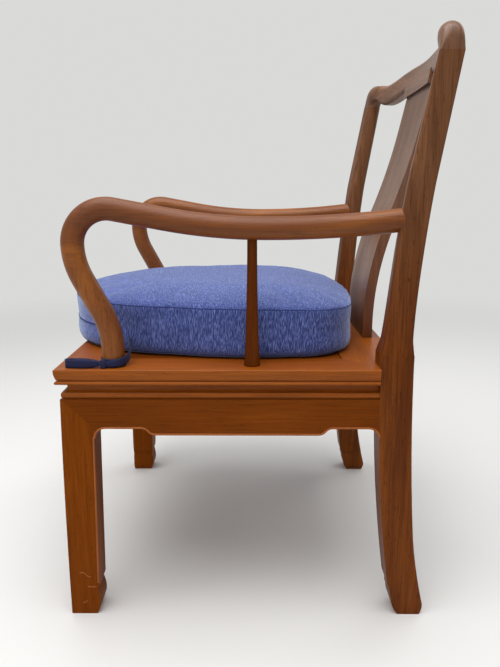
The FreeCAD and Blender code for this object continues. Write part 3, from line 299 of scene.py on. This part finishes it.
def wood(name, grain, order, looks, shine, reflection_looks=None, turn=None, turn_order=None):
    """A polished hardwood whose grain runs along the given turned axis."""
    material, tree, shader = new_material(name)
    shader.inputs["Specular IOR Level"].default_value = shine
    figure = figure_on(tree, (-900, 0), grain, order, looks, reflection_looks)
    if turn:
        upright = figure_on(tree, (-900, -450), UPRIGHT, turn_order, looks, reflection_looks)
        figure = turned_grain(tree, figure, upright, *turn)
    bump = add_node(tree, "ShaderNodeBump", (0, -200))
    bump.inputs["Strength"].default_value = 0.12
    bump.inputs["Distance"].default_value = 0.0006
    tree.links.new(figure["Color"], shader.inputs["Base Color"])
    tree.links.new(figure["Roughness"], shader.inputs["Roughness"])
    tree.links.new(figure["Height"], bump.inputs["Height"])
    tree.links.new(bump.outputs["Normal"], shader.inputs["Normal"])
    return material


PORE = (0.022, 0.005, 0.001, 1)
SEAT_LOOKS = {"Pale": (0.21, 0.05, 0.0035, 1), "Deep": (0.125, 0.027, 0.0015, 1), "Pore": PORE,
              "Mottle": 0.7, "Streaks": 0.35, "Flecks": 0.3}
# Lighter colours for the seat rails and waist mouldings: a painted highlight of the ceiling light on their edges.
RAIL_HIGHLIGHT_LOOKS = {**SEAT_LOOKS, "Pale": (0.31, 0.078, 0.004, 1), "Deep": (0.21, 0.046, 0.002, 1)}
POST_LOOKS = {**SEAT_LOOKS, "Pale": (0.20, 0.051, 0.004, 1), "Deep": (0.09, 0.019, 0.001, 1),
              "Streaks": 0.6, "Flecks": 0.6}
# Paler, greyer colours of the upper posts and splat, and of the whole crest rail: painted reflection of the
# bright room in their polish.
POST_REFLECTION_LOOKS = {**POST_LOOKS, "Pale": (0.195, 0.083, 0.036, 1), "Deep": (0.10, 0.037, 0.014, 1)}
ARM_LOOKS = {"Pale": (0.28, 0.085, 0.010, 1), "Deep": (0.13, 0.032, 0.004, 1), "Pore": PORE,
             "Mottle": 0.9, "Streaks": 0.5, "Flecks": 0.4}
SPINDLE_LOOKS = {**ARM_LOOKS, "Pale": (0.16, 0.037, 0.003, 1), "Deep": (0.085, 0.019, 0.002, 1)}
CREST_TURN = ("X", 0.232, 0.262)
ARM_TURN = ("Z", 0.60, 0.54)
WOODWORK = [
    (UPRIGHT, POST_LOOKS, 0.1, POST_REFLECTION_LOOKS, None, ("rear_leg_left", "rear_leg_right")),
    (UPRIGHT, SEAT_LOOKS, 0.025, None, None, ("front_leg_left", "front_leg_right")),
    (ACROSS, SEAT_LOOKS, 0.04, None, None, (
        "apron_front", "apron_back", "seat_batten_front", "seat_batten_rear")),
    (FRONT_TO_BACK, SEAT_LOOKS, 0.04, None, None, ("apron_left", "apron_right", "seat_panel")),
    (ACROSS, RAIL_HIGHLIGHT_LOOKS, 0.16, None, None, ("seat_front_rail", "seat_back_rail", "waist_front", "waist_back")),
    (FRONT_TO_BACK, RAIL_HIGHLIGHT_LOOKS, 0.16, None, None, (
        "seat_side_rail_left", "seat_side_rail_right", "waist_left", "waist_right")),
    (FRONT_TO_BACK, ARM_LOOKS, 0.28, None, ARM_TURN, ("arm_left", "arm_right")),
    (UPRIGHT, SPINDLE_LOOKS, 0.04, None, None, ("arm_spindle_left", "arm_spindle_right")),
    (UPRIGHT, POST_LOOKS, 0.5, POST_REFLECTION_LOOKS, None, ("splat",)),
    (ACROSS, POST_REFLECTION_LOOKS, 0.34, None, CREST_TURN, ("crest_rail",)),
]
order_of = {}
for grain, looks, shine, reflection_looks, turn, node_names in WOODWORK:
    for node_name in node_names:
        order_of[node_name] = len(order_of)
        turn_order = order_of["rear_leg_left"] if node_name == "crest_rail" else order_of[node_name]
        finish = wood(f"{node_name}_wood", grain, order_of[node_name], looks, shine, reflection_looks, turn, turn_order)
        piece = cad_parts[node_name]
        piece.data.materials.clear()
        piece.data.materials.append(finish)

# Carving: a narrow lip stands along the lower edge of each apron and down the inner edges of the front legs,
# and each front foot has a small hook and two strokes on its outer faces, all in one wood coloured paler as a
# painted highlight.
LIP_RADIUS = 0.0019
LIP_TOP = 0.33
APRON_LOW = 0.30
FOOT_TOP = 0.0555
STROKE_RADIUS = 0.0009
WELD = 0.00002
FACE_DEPTH = 0.006
IN_FACE = 0.97
OUT_OF_FACE = 0.7
FACES_DOWN = -0.2
FACES_INWARD = 0.5
SUNK_FROM_FACE = 0.45
SUNK_FROM_EDGE = 0.6
cushion_low, cushion_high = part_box("cushion")
cushion_middle = (Vector(cushion_low) + Vector(cushion_high)) / 2
STROKES = {
    # in from the leg's outer corner, and up from the floor
    "hook": ((0.0165, 0.0735), (0.0200, 0.0752), (0.0240, 0.0735), (0.0275, 0.0692), (0.0310, 0.0668),
             (0.0345, 0.0672)),
    "bar": ((0.0285, 0.0495), (0.0350, 0.0486), (0.0420, 0.0490)),
    "mark": ((0.0195, 0.0195), (0.0228, 0.0205), (0.0260, 0.0235)),
}


def tube(name, points, radius, finish, closed=False):
    """A round line through points, made a mesh."""
    bpy.ops.object.select_all(action="DESELECT")
    bpy.ops.curve.primitive_bezier_circle_add(location=(0, 0, 0))
    line = bpy.context.object
    line.name = name
    line.data.splines.clear()
    route = line.data.splines.new("POLY")
    route.points.add(len(points) - 1)
    for stop, place in zip(route.points, points):
        stop.co = (*place, 1)
    route.use_cyclic_u = closed
    line.data.bevel_depth = radius
    line.data.bevel_resolution = 2
    line.data.use_fill_caps = True
    bpy.ops.object.convert(target="MESH")
    line = bpy.context.object
    line.data.materials.clear()
    line.data.materials.append(finish)
    bpy.ops.object.shade_smooth()
    return line


def face_edge(node_name, out, low):
    """The lower and inner edge of a piece's outer face: its points in order, a little inside the wood."""
    shape = bmesh.new()
    shape.from_mesh(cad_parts[node_name].data)
    bmesh.ops.remove_doubles(shape, verts=shape.verts[:], dist=WELD)
    shape.normal_update()
    outermost = max(corner.co.dot(out) for corner in shape.verts)
    joined, facing = {}, {}
    for edge in shape.edges:
        middle = (edge.verts[0].co + edge.verts[1].co) / 2
        inward = cushion_middle - middle
        inward = (inward - out * inward.dot(out)) * Vector((1, 1, 0))
        sides = sorted(edge.link_faces, key=lambda face: -face.normal.dot(out))
        if len(sides) < 2 or sides[0].normal.dot(out) < IN_FACE or sides[1].normal.dot(out) > OUT_OF_FACE:
            continue
        heights = [corner.co.z for corner in edge.verts]
        if outermost - middle.dot(out) > FACE_DEPTH or min(heights) <= low or max(heights) > LIP_TOP:
            continue
        if sides[1].normal.z < FACES_DOWN or sides[1].normal.dot(inward.normalized()) > FACES_INWARD:
            for corner in edge.verts:
                joined.setdefault(corner, []).append(edge.other_vert(corner))
                facing[corner] = facing.get(corner, Vector()) + sides[1].normal
    ends = [corner for corner, others in joined.items() if len(others) == 1]
    route = [min(ends, key=lambda corner: (corner.co.z, corner.co.x, corner.co.y))]
    while True:
        onward = [corner for corner in joined[route[-1]] if corner not in route]
        if not onward:
            break
        route.append(onward[0])
    places = [corner.co - out * LIP_RADIUS * SUNK_FROM_FACE
              - facing[corner].normalized() * LIP_RADIUS * SUNK_FROM_EDGE for corner in route]
    shape.free()
    return places


LEFT, RIGHT, FRONT, BACK = Vector((1, 0, 0)), Vector((-1, 0, 0)), Vector((0, -1, 0)), Vector((0, 1, 0))
# Much paler than the seat wood: a painted highlight of the ceiling light on the rounded lips and carved lines.
CARVING_HIGHLIGHT_LOOKS = {**SEAT_LOOKS, "Pale": (0.38, 0.115, 0.026, 1), "Deep": (0.29, 0.076, 0.013, 1)}
carving_highlight_wood = wood("carving_highlight_wood", UPRIGHT, len(order_of), CARVING_HIGHLIGHT_LOOKS, 0.16)
carvings = []
for name, node_name, out, low in (
        ("lip_apron_left", "apron_left", LEFT, APRON_LOW),
        ("lip_apron_right", "apron_right", RIGHT, APRON_LOW),
        ("lip_apron_front", "apron_front", FRONT, APRON_LOW),
        ("lip_apron_back", "apron_back", BACK, APRON_LOW),
        ("lip_leg_left_side", "front_leg_left", LEFT, FOOT_TOP),
        ("lip_leg_left_front", "front_leg_left", FRONT, FOOT_TOP),
        ("lip_leg_right_side", "front_leg_right", RIGHT, FOOT_TOP),
        ("lip_leg_right_front", "front_leg_right", FRONT, FOOT_TOP)):
    carvings.append(tube(name, face_edge(node_name, out, low), LIP_RADIUS, carving_highlight_wood))
for side, way in (("left", 1), ("right", -1)):
    low_corner, high_corner = (Vector(corner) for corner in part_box(f"front_leg_{side}"))
    corner_x = max(abs(low_corner.x), abs(high_corner.x))
    for name, stroke in STROKES.items():
        on_side = [(way * corner_x, low_corner.y + along, up) for along, up in stroke]
        on_front = [(way * (corner_x - along), low_corner.y, up) for along, up in stroke]
        carvings.append(tube(f"foot_{name}_{side}_side", on_side, STROKE_RADIUS, carving_highlight_wood))
        carvings.append(tube(f"foot_{name}_{side}_front", on_front, STROKE_RADIUS, carving_highlight_wood))
for piece in carvings:
    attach(piece, "chair")

# Cushion: a loose foam pad in a boxed cover of heathered blue cloth, cut in a top, a bottom and a band round
# the sides, sewn together with plain seams. A zip in the band's front lets the foam out.
CUSHION_START = 0.994
CUSHION_VOXEL = 0.0052
CUSHION_CAP = 0.006
UPPER_SEAM = cushion_high[2] - 0.0225
LOWER_SEAM = cushion_low[2] + 0.0055
ZIP_HEIGHT = cushion_low[2] + 0.0395
SEAM_HOLD = 0.0045
REACH_FROM = -0.10
REACH_SHARE = 0.055
SAG_FROM = -0.02
SAG = 0.006
CLOTH_STEPS = 20
SEAM_RADIUS = 0.0008
ZIP_RADIUS = 0.0013
SEAM_SUNK = 0.3
OUTSIDE = 0.5
ALL_ROUND = range(0, 360, 2)
ACROSS_THE_FRONT = range(-142, -37, 2)


def build_cushion_fabric():
    """Blue cloth of light and dark threads, which run across the top and upright on the band."""
    material, tree, shader = new_material("heathered_blue_cloth")
    link = tree.links.new
    shader.inputs["Roughness"].default_value = 0.85
    shader.inputs["Sheen Weight"].default_value = 0.6
    shader.inputs["Sheen Roughness"].default_value = 0.4
    shader.inputs["Sheen Tint"].default_value = (0.72, 0.82, 1, 1)
    shader.inputs["Specular IOR Level"].default_value = 0.25
    where = add_node(tree, "ShaderNodeTexCoord", (-1300, 0))
    side = add_node(tree, "ShaderNodeAttribute", (-1300, -300), attribute_name="band")

    def threads(scale, noise_scale, detail, place):
        stretch = add_node(tree, "ShaderNodeMapping", (-1080, place))
        stretch.inputs["Scale"].default_value = scale
        noise = add_node(tree, "ShaderNodeTexNoise", (-860, place))
        noise.inputs["Scale"].default_value = noise_scale
        noise.inputs["Detail"].default_value = detail
        link(where.outputs["Object"], stretch.inputs["Vector"])
        link(stretch.outputs["Vector"], noise.inputs["Vector"])
        return noise.outputs["Fac"]

    def chosen(top, band, place):
        mix = add_node(tree, "ShaderNodeMix", (-620, place), data_type="FLOAT")
        link(side.outputs["Fac"], mix.inputs["Factor"])
        link(top, mix.inputs["A"])
        link(band, mix.inputs["B"])
        return mix.outputs["Result"]

    slubs = chosen(threads((0.08, 1, 1), 950, 1.2, 300), threads((1, 1, 0.07), 1350, 1.2, 100), 200)
    yarns = chosen(threads((1, 0.3, 1), 2400, 0, -100), threads((1, 1, 0.3), 2400, 0, -300), -200)
    streak = add_node(tree, "ShaderNodeMapRange", (-400, 200), interpolation_type="SMOOTHSTEP")
    streak.inputs["From Min"].default_value = 0.47
    streak.inputs["From Max"].default_value = 0.72
    link(slubs, streak.inputs["Value"])
    shade = add_node(tree, "ShaderNodeMix", (-160, 300), data_type="RGBA")
    shade.inputs["A"].default_value = (0.042, 0.064, 0.225, 1)
    shade.inputs["B"].default_value = (0.19, 0.25, 0.60, 1)
    link(streak.outputs["Result"], shade.inputs["Factor"])
    dark = add_node(tree, "ShaderNodeMapRange", (-400, -60), interpolation_type="SMOOTHSTEP")
    dark.inputs["From Min"].default_value = 0.5
    dark.inputs["From Max"].default_value = 0.3
    dark.inputs["To Max"].default_value = 0.75
    link(slubs, dark.inputs["Value"])
    shaded = add_node(tree, "ShaderNodeMix", (40, 200), data_type="RGBA")
    shaded.inputs["B"].default_value = (0.016, 0.022, 0.095, 1)
    link(dark.outputs["Result"], shaded.inputs["Factor"])
    link(shade.outputs["Result"], shaded.inputs["A"])
    link(shaded.outputs["Result"], shader.inputs["Base Color"])
    bump = add_node(tree, "ShaderNodeBump", (40, -200))
    bump.inputs["Strength"].default_value = 0.35
    bump.inputs["Distance"].default_value = 0.0008
    link(yarns, bump.inputs["Height"])
    link(bump.outputs["Normal"], shader.inputs["Normal"])
    return material


cushion_fabric = build_cushion_fabric()
bpy.ops.object.select_all(action="DESELECT")
cushion_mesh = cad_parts["cushion"].data.copy()
cushion_mesh.name = "seat_cushion"
cushion_mesh.materials.clear()
cushion_mesh.materials.append(cushion_fabric)
cushion = bpy.data.objects.new("seat_cushion", cushion_mesh)
scene.collection.objects.link(cushion)
cushion.select_set(True)
bpy.context.view_layer.objects.active = cushion
bpy.ops.object.mode_set(mode="EDIT")
bpy.ops.mesh.select_all(action="SELECT")
bpy.ops.mesh.remove_doubles(threshold=0.0001)
bpy.ops.mesh.normals_make_consistent(inside=False)
bpy.ops.transform.resize(value=(CUSHION_START, CUSHION_START, CUSHION_START), center_override=cushion_middle)
bpy.ops.object.mode_set(mode="OBJECT")
remesh = cushion.modifiers.new("even_cloth", "REMESH")
remesh.mode = "VOXEL"
remesh.voxel_size = CUSHION_VOXEL
bpy.ops.object.modifier_apply(modifier=remesh.name)
seams = cushion.vertex_groups.new(name="seams")
panels = cushion.vertex_groups.new(name="panels")
for vertex in cushion.data.vertices:
    sewn_in = abs(vertex.normal.z) < 0.9 and min(abs(vertex.co.z - UPPER_SEAM),
                                                 abs(vertex.co.z - LOWER_SEAM)) < SEAM_HOLD
    (seams if sewn_in else panels).add([vertex.index], 1.0, "REPLACE")
start_places = [vertex.co.copy() for vertex in cushion.data.vertices]
fill = cushion.modifiers.new("fill", "CLOTH")
fill.settings.quality = 6
fill.settings.mass = 0.3
fill.settings.tension_stiffness = 15
fill.settings.compression_stiffness = 15
fill.settings.shear_stiffness = 8
fill.settings.bending_stiffness = 1.2
fill.settings.use_pressure = True
fill.settings.uniform_pressure_force = 4
fill.settings.effector_weights.gravity = 0
fill.settings.vertex_group_mass = seams.name
scene.frame_start = 1
scene.frame_end = CLOTH_STEPS
for step in range(1, CLOTH_STEPS + 1):
    scene.frame_set(step)
filled = cushion.evaluated_get(bpy.context.evaluated_depsgraph_get())
swollen = [vertex.co.copy() for vertex in filled.data.vertices]
cushion.modifiers.remove(fill)
scene.frame_set(1)
for vertex, start, end in zip(cushion.data.vertices, start_places, swollen):
    moved = end - start
    if moved.length > CUSHION_CAP:
        moved *= CUSHION_CAP / moved.length
    vertex.co = start + moved
    vertex.co.z = max(vertex.co.z, cushion_low[2])
smoother = cushion.modifiers.new("smoother", "SMOOTH")
smoother.factor = 0.5
smoother.iterations = 8
smoother.vertex_group = panels.name
bpy.ops.object.modifier_apply(modifier=smoother.name)
finer = cushion.modifiers.new("finer", "SUBSURF")
finer.levels = 1
finer.render_levels = 1
bpy.ops.object.modifier_apply(modifier=finer.name)
band = cushion.data.attributes.new("band", "FLOAT", "POINT")
for vertex, value in zip(cushion.data.vertices, band.data):
    upright = abs(vertex.normal.z) < 0.7
    value.value = 1.0 if upright and LOWER_SEAM < vertex.co.z < UPPER_SEAM else 0.0
bpy.ops.object.shade_smooth()


def settle(piece):
    """The worn-in lie of the cushion: drawn out a little over the seat's front edge, and lower at its rear."""
    for corner in piece.data.vertices:
        corner.co.y += min(0, corner.co.y - REACH_FROM) * REACH_SHARE
        rearward = min(1, max(0, (corner.co.y - SAG_FROM) / (cushion_high[1] - SAG_FROM)))
        share = (corner.co.z - cushion_low[2]) / (cushion_high[2] - cushion_low[2])
        corner.co.z -= SAG * share * rearward * rearward * (3 - 2 * rearward)


def build_seam_shade():
    """A dark blue line of painted shade, darker than the cloth, for the shadow in the folds of the seams; the zip
    line takes it too.
    """
    material, tree, shader = new_material("seam_shadow")
    shader.inputs["Roughness"].default_value = 0.9
    shader.inputs["Specular IOR Level"].default_value = 0.1
    where = add_node(tree, "ShaderNodeTexCoord", (-900, 0))
    stitches = add_node(tree, "ShaderNodeTexNoise", (-700, 0))
    stitches.inputs["Scale"].default_value = 700
    shade = add_node(tree, "ShaderNodeMix", (-400, 0), data_type="RGBA")
    shade.inputs["A"].default_value = (0.014, 0.019, 0.08, 1)
    shade.inputs["B"].default_value = (0.05, 0.065, 0.22, 1)
    tree.links.new(where.outputs["Object"], stitches.inputs["Vector"])
    tree.links.new(stitches.outputs["Fac"], shade.inputs["Factor"])
    tree.links.new(shade.outputs["Result"], shader.inputs["Base Color"])
    return material


seam_shade_cloth = build_seam_shade()


def seam(name, height, radius, turns, closed):
    """A thin line sewn round the cushion's side at one height, between two turns about its middle."""
    points = []
    for turn in turns:
        outward = Vector((math.cos(math.radians(turn)), math.sin(math.radians(turn)), 0))
        start = Vector((cushion_middle.x, cushion_middle.y, height)) + outward * OUTSIDE
        place = cushion.ray_cast(start, -outward)[1]
        points.append(place - outward * radius * SEAM_SUNK)
    return tube(name, points, radius, seam_shade_cloth, closed)


# Seams and zip drawn as thin tubes in the darker cloth of painted shade.
seam_lines = [
    seam("cushion_upper_seam", UPPER_SEAM, SEAM_RADIUS, ALL_ROUND, True),
    seam("cushion_lower_seam", LOWER_SEAM, SEAM_RADIUS, ALL_ROUND, True),
    seam("cushion_zip", ZIP_HEIGHT, ZIP_RADIUS, ACROSS_THE_FRONT, False),
]
for piece in (cushion, *seam_lines):
    settle(piece)
    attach(piece, "cushion")
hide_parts("cushion")

# Ties: a dark blue tape sewn to each front corner of the cushion, taken round the foot of the arm and tied
# flat on the seat frame, with its loop out over the front corner.
TAPE_WIDTH = 0.013
TAPE_THICK = 0.0016
SAME_PLACE = TAPE_THICK / 9
TAPE_WELD = 0.0002
SEAT_TOP = cushion_low[2]


def build_tape_cloth():
    """Dark blue woven tape with a slightly uneven dye."""
    material, tree, shader = new_material("dark_blue_tape")
    shader.inputs["Roughness"].default_value = 0.75
    shader.inputs["Specular IOR Level"].default_value = 0.25
    shader.inputs["Sheen Weight"].default_value = 0.08
    where = add_node(tree, "ShaderNodeTexCoord", (-900, 0))
    rows = add_node(tree, "ShaderNodeTexNoise", (-700, 0))
    rows.inputs["Scale"].default_value = 900
    shade = add_node(tree, "ShaderNodeMix", (-400, 0), data_type="RGBA")
    shade.inputs["A"].default_value = (0.003, 0.0035, 0.022, 1)
    shade.inputs["B"].default_value = (0.010, 0.012, 0.062, 1)
    bump = add_node(tree, "ShaderNodeBump", (-220, -200))
    bump.inputs["Strength"].default_value = 0.3
    bump.inputs["Distance"].default_value = 0.0005
    tree.links.new(where.outputs["Object"], rows.inputs["Vector"])
    tree.links.new(rows.outputs["Fac"], shade.inputs["Factor"])
    tree.links.new(rows.outputs["Fac"], bump.inputs["Height"])
    tree.links.new(shade.outputs["Result"], shader.inputs["Base Color"])
    tree.links.new(bump.outputs["Normal"], shader.inputs["Normal"])
    return material


tape_cloth = build_tape_cloth()


def tape(name, route, closed=False):
    """A tape on its edge: an upright strip taken along the points of a route, then given its thickness."""
    bpy.ops.object.select_all(action="DESELECT")
    bpy.ops.mesh.primitive_plane_add(size=1, location=(0, 0, 0))
    strip = bpy.context.object
    strip.name = name
    bpy.ops.object.mode_set(mode="EDIT")
    shape = bmesh.from_edit_mesh(strip.data)
    corners = sorted(shape.verts, key=lambda corner: (corner.co.x, corner.co.y))
    for corner, end, high in zip(corners, (0, 0, 1, 1), (0, 1, 0, 1)):
        corner.co = Vector(route[end]) + Vector((0, 0, TAPE_WIDTH * high))
    bmesh.update_edit_mesh(strip.data)
    for before, after in zip(route[1:], route[2:]):
        bpy.ops.mesh.select_all(action="DESELECT")
        shape = bmesh.from_edit_mesh(strip.data)
        for edge in shape.edges:
            if all((corner.co.xy - Vector(before).xy).length < SAME_PLACE for corner in edge.verts):
                edge.select_set(True)
        bmesh.update_edit_mesh(strip.data)
        bpy.ops.mesh.extrude_region_move(
            TRANSFORM_OT_translate={"value": Vector(after) - Vector(before)})
    if closed:
        bpy.ops.mesh.select_all(action="SELECT")
        bpy.ops.mesh.remove_doubles(threshold=TAPE_WELD)
    bpy.ops.object.mode_set(mode="OBJECT")
    rounder = strip.modifiers.new("rounder", "SUBSURF")
    rounder.levels = rounder.render_levels = 2
    bpy.ops.object.modifier_apply(modifier=rounder.name)
    body = strip.modifiers.new("thickness", "SOLIDIFY")
    body.thickness = TAPE_THICK
    body.offset = 0
    bpy.ops.object.modifier_apply(modifier=body.name)
    strip.data.materials.append(tape_cloth)
    bpy.ops.object.shade_smooth()
    return strip


ARM_FOOT = Vector((0.2695, -0.2158))
KNOT_PLACE = Vector((0.2900, -0.2275, SEAT_TOP + 0.0067))
KNOT_SIZE = (0.0058, 0.0085, 0.0125)
GATHER_LENGTH = 0.03
GATHERED = 0.55
RING_RADIUS = 0.0185
RING = [(ARM_FOOT.x + RING_RADIUS * math.cos(math.radians(turn)),
         ARM_FOOT.y + RING_RADIUS * math.sin(math.radians(turn)), SEAT_TOP) for turn in range(0, 361, 30)]
LOOP = [(0.2885, -0.2275, SEAT_TOP), (0.2902, -0.240, SEAT_TOP), (0.2908, -0.262, SEAT_TOP),
        (0.2898, -0.279, SEAT_TOP), (0.2850, -0.2868, SEAT_TOP), (0.2798, -0.2815, SEAT_TOP),
        (0.2803, -0.262, SEAT_TOP), (0.2835, -0.243, SEAT_TOP), (0.2872, -0.229, SEAT_TOP)]
INNER_LOOP = [(0.2892, -0.2285, SEAT_TOP), (0.2880, -0.244, SEAT_TOP), (0.2872, -0.262, SEAT_TOP),
              (0.2856, -0.2735, SEAT_TOP), (0.2828, -0.2720, SEAT_TOP), (0.2838, -0.258, SEAT_TOP),
              (0.2860, -0.243, SEAT_TOP), (0.2885, -0.229, SEAT_TOP)]
STRAP = [(0.2898, -0.2290, SEAT_TOP), (0.2912, -0.2160, SEAT_TOP), (0.2880, -0.2030, SEAT_TOP + 0.001),
         (0.2775, -0.1955, SEAT_TOP + 0.003), (0.2620, -0.1925, SEAT_TOP + 0.006),
         (0.2480, -0.1940, SEAT_TOP + 0.010), (0.2340, -0.1975, SEAT_TOP + 0.015),
         (0.2190, -0.2015, SEAT_TOP + 0.019), (0.2030, -0.2050, SEAT_TOP + 0.021)]


def gathered(strip, way):
    """Draws a tape together towards the knot, where it is folded on itself."""
    for corner in strip.data.vertices:
        apart = min(1, ((corner.co.x - way * KNOT_PLACE.x) ** 2 + (corner.co.y - KNOT_PLACE.y) ** 2) ** 0.5
                    / GATHER_LENGTH)
        share = GATHERED + (1 - GATHERED) * apart * apart * (3 - 2 * apart)
        corner.co.z = KNOT_PLACE.z + (corner.co.z - KNOT_PLACE.z) * share
    return strip


def knot(name, place, size):
    """A small knot: a rounded lump pinched at its waist, with the tape's fold over it."""
    bpy.ops.object.select_all(action="DESELECT")
    bpy.ops.mesh.primitive_cube_add(size=1, location=place, scale=size)
    lump = bpy.context.object
    lump.name = name
    bpy.ops.object.transform_apply(location=True, rotation=False, scale=True)
    bpy.ops.object.mode_set(mode="EDIT")
    bpy.ops.mesh.select_all(action="SELECT")
    bpy.ops.mesh.subdivide(number_cuts=3)
    bpy.ops.object.mode_set(mode="OBJECT")
    for corner in lump.data.vertices:
        height = (corner.co.z - place[2]) / size[2]
        swell = 1.08 - 0.9 * height * height + 0.1 * math.cos(height * 12)
        corner.co.x = place[0] + (corner.co.x - place[0]) * swell
        corner.co.y = place[1] + (corner.co.y - place[1]) * swell
    rounder = lump.modifiers.new("rounder", "SUBSURF")
    rounder.levels = rounder.render_levels = 2
    bpy.ops.object.modifier_apply(modifier=rounder.name)
    bpy.ops.object.origin_set(type="ORIGIN_CURSOR")
    lump.data.materials.append(tape_cloth)
    bpy.ops.object.shade_smooth()
    return lump


for side, way in (("left", 1), ("right", -1)):
    def on_side(route):
        return [(way * x, y, z) for x, y, z in route]

    ring = tape(f"tie_ring_{side}", on_side(RING), closed=True)
    pieces = [
        ring,
        gathered(tape(f"tie_loop_{side}", on_side(LOOP)), way),
        gathered(tape(f"tie_inner_loop_{side}", on_side(INNER_LOOP)), way),
        gathered(tape(f"tie_strap_{side}", on_side(STRAP)), way),
        knot(f"tie_knot_{side}", (way * KNOT_PLACE.x, KNOT_PLACE.y, KNOT_PLACE.z), KNOT_SIZE),
    ]
    for piece in pieces:
        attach(piece, "chair")
    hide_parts(f"cushion_tie_{side}")
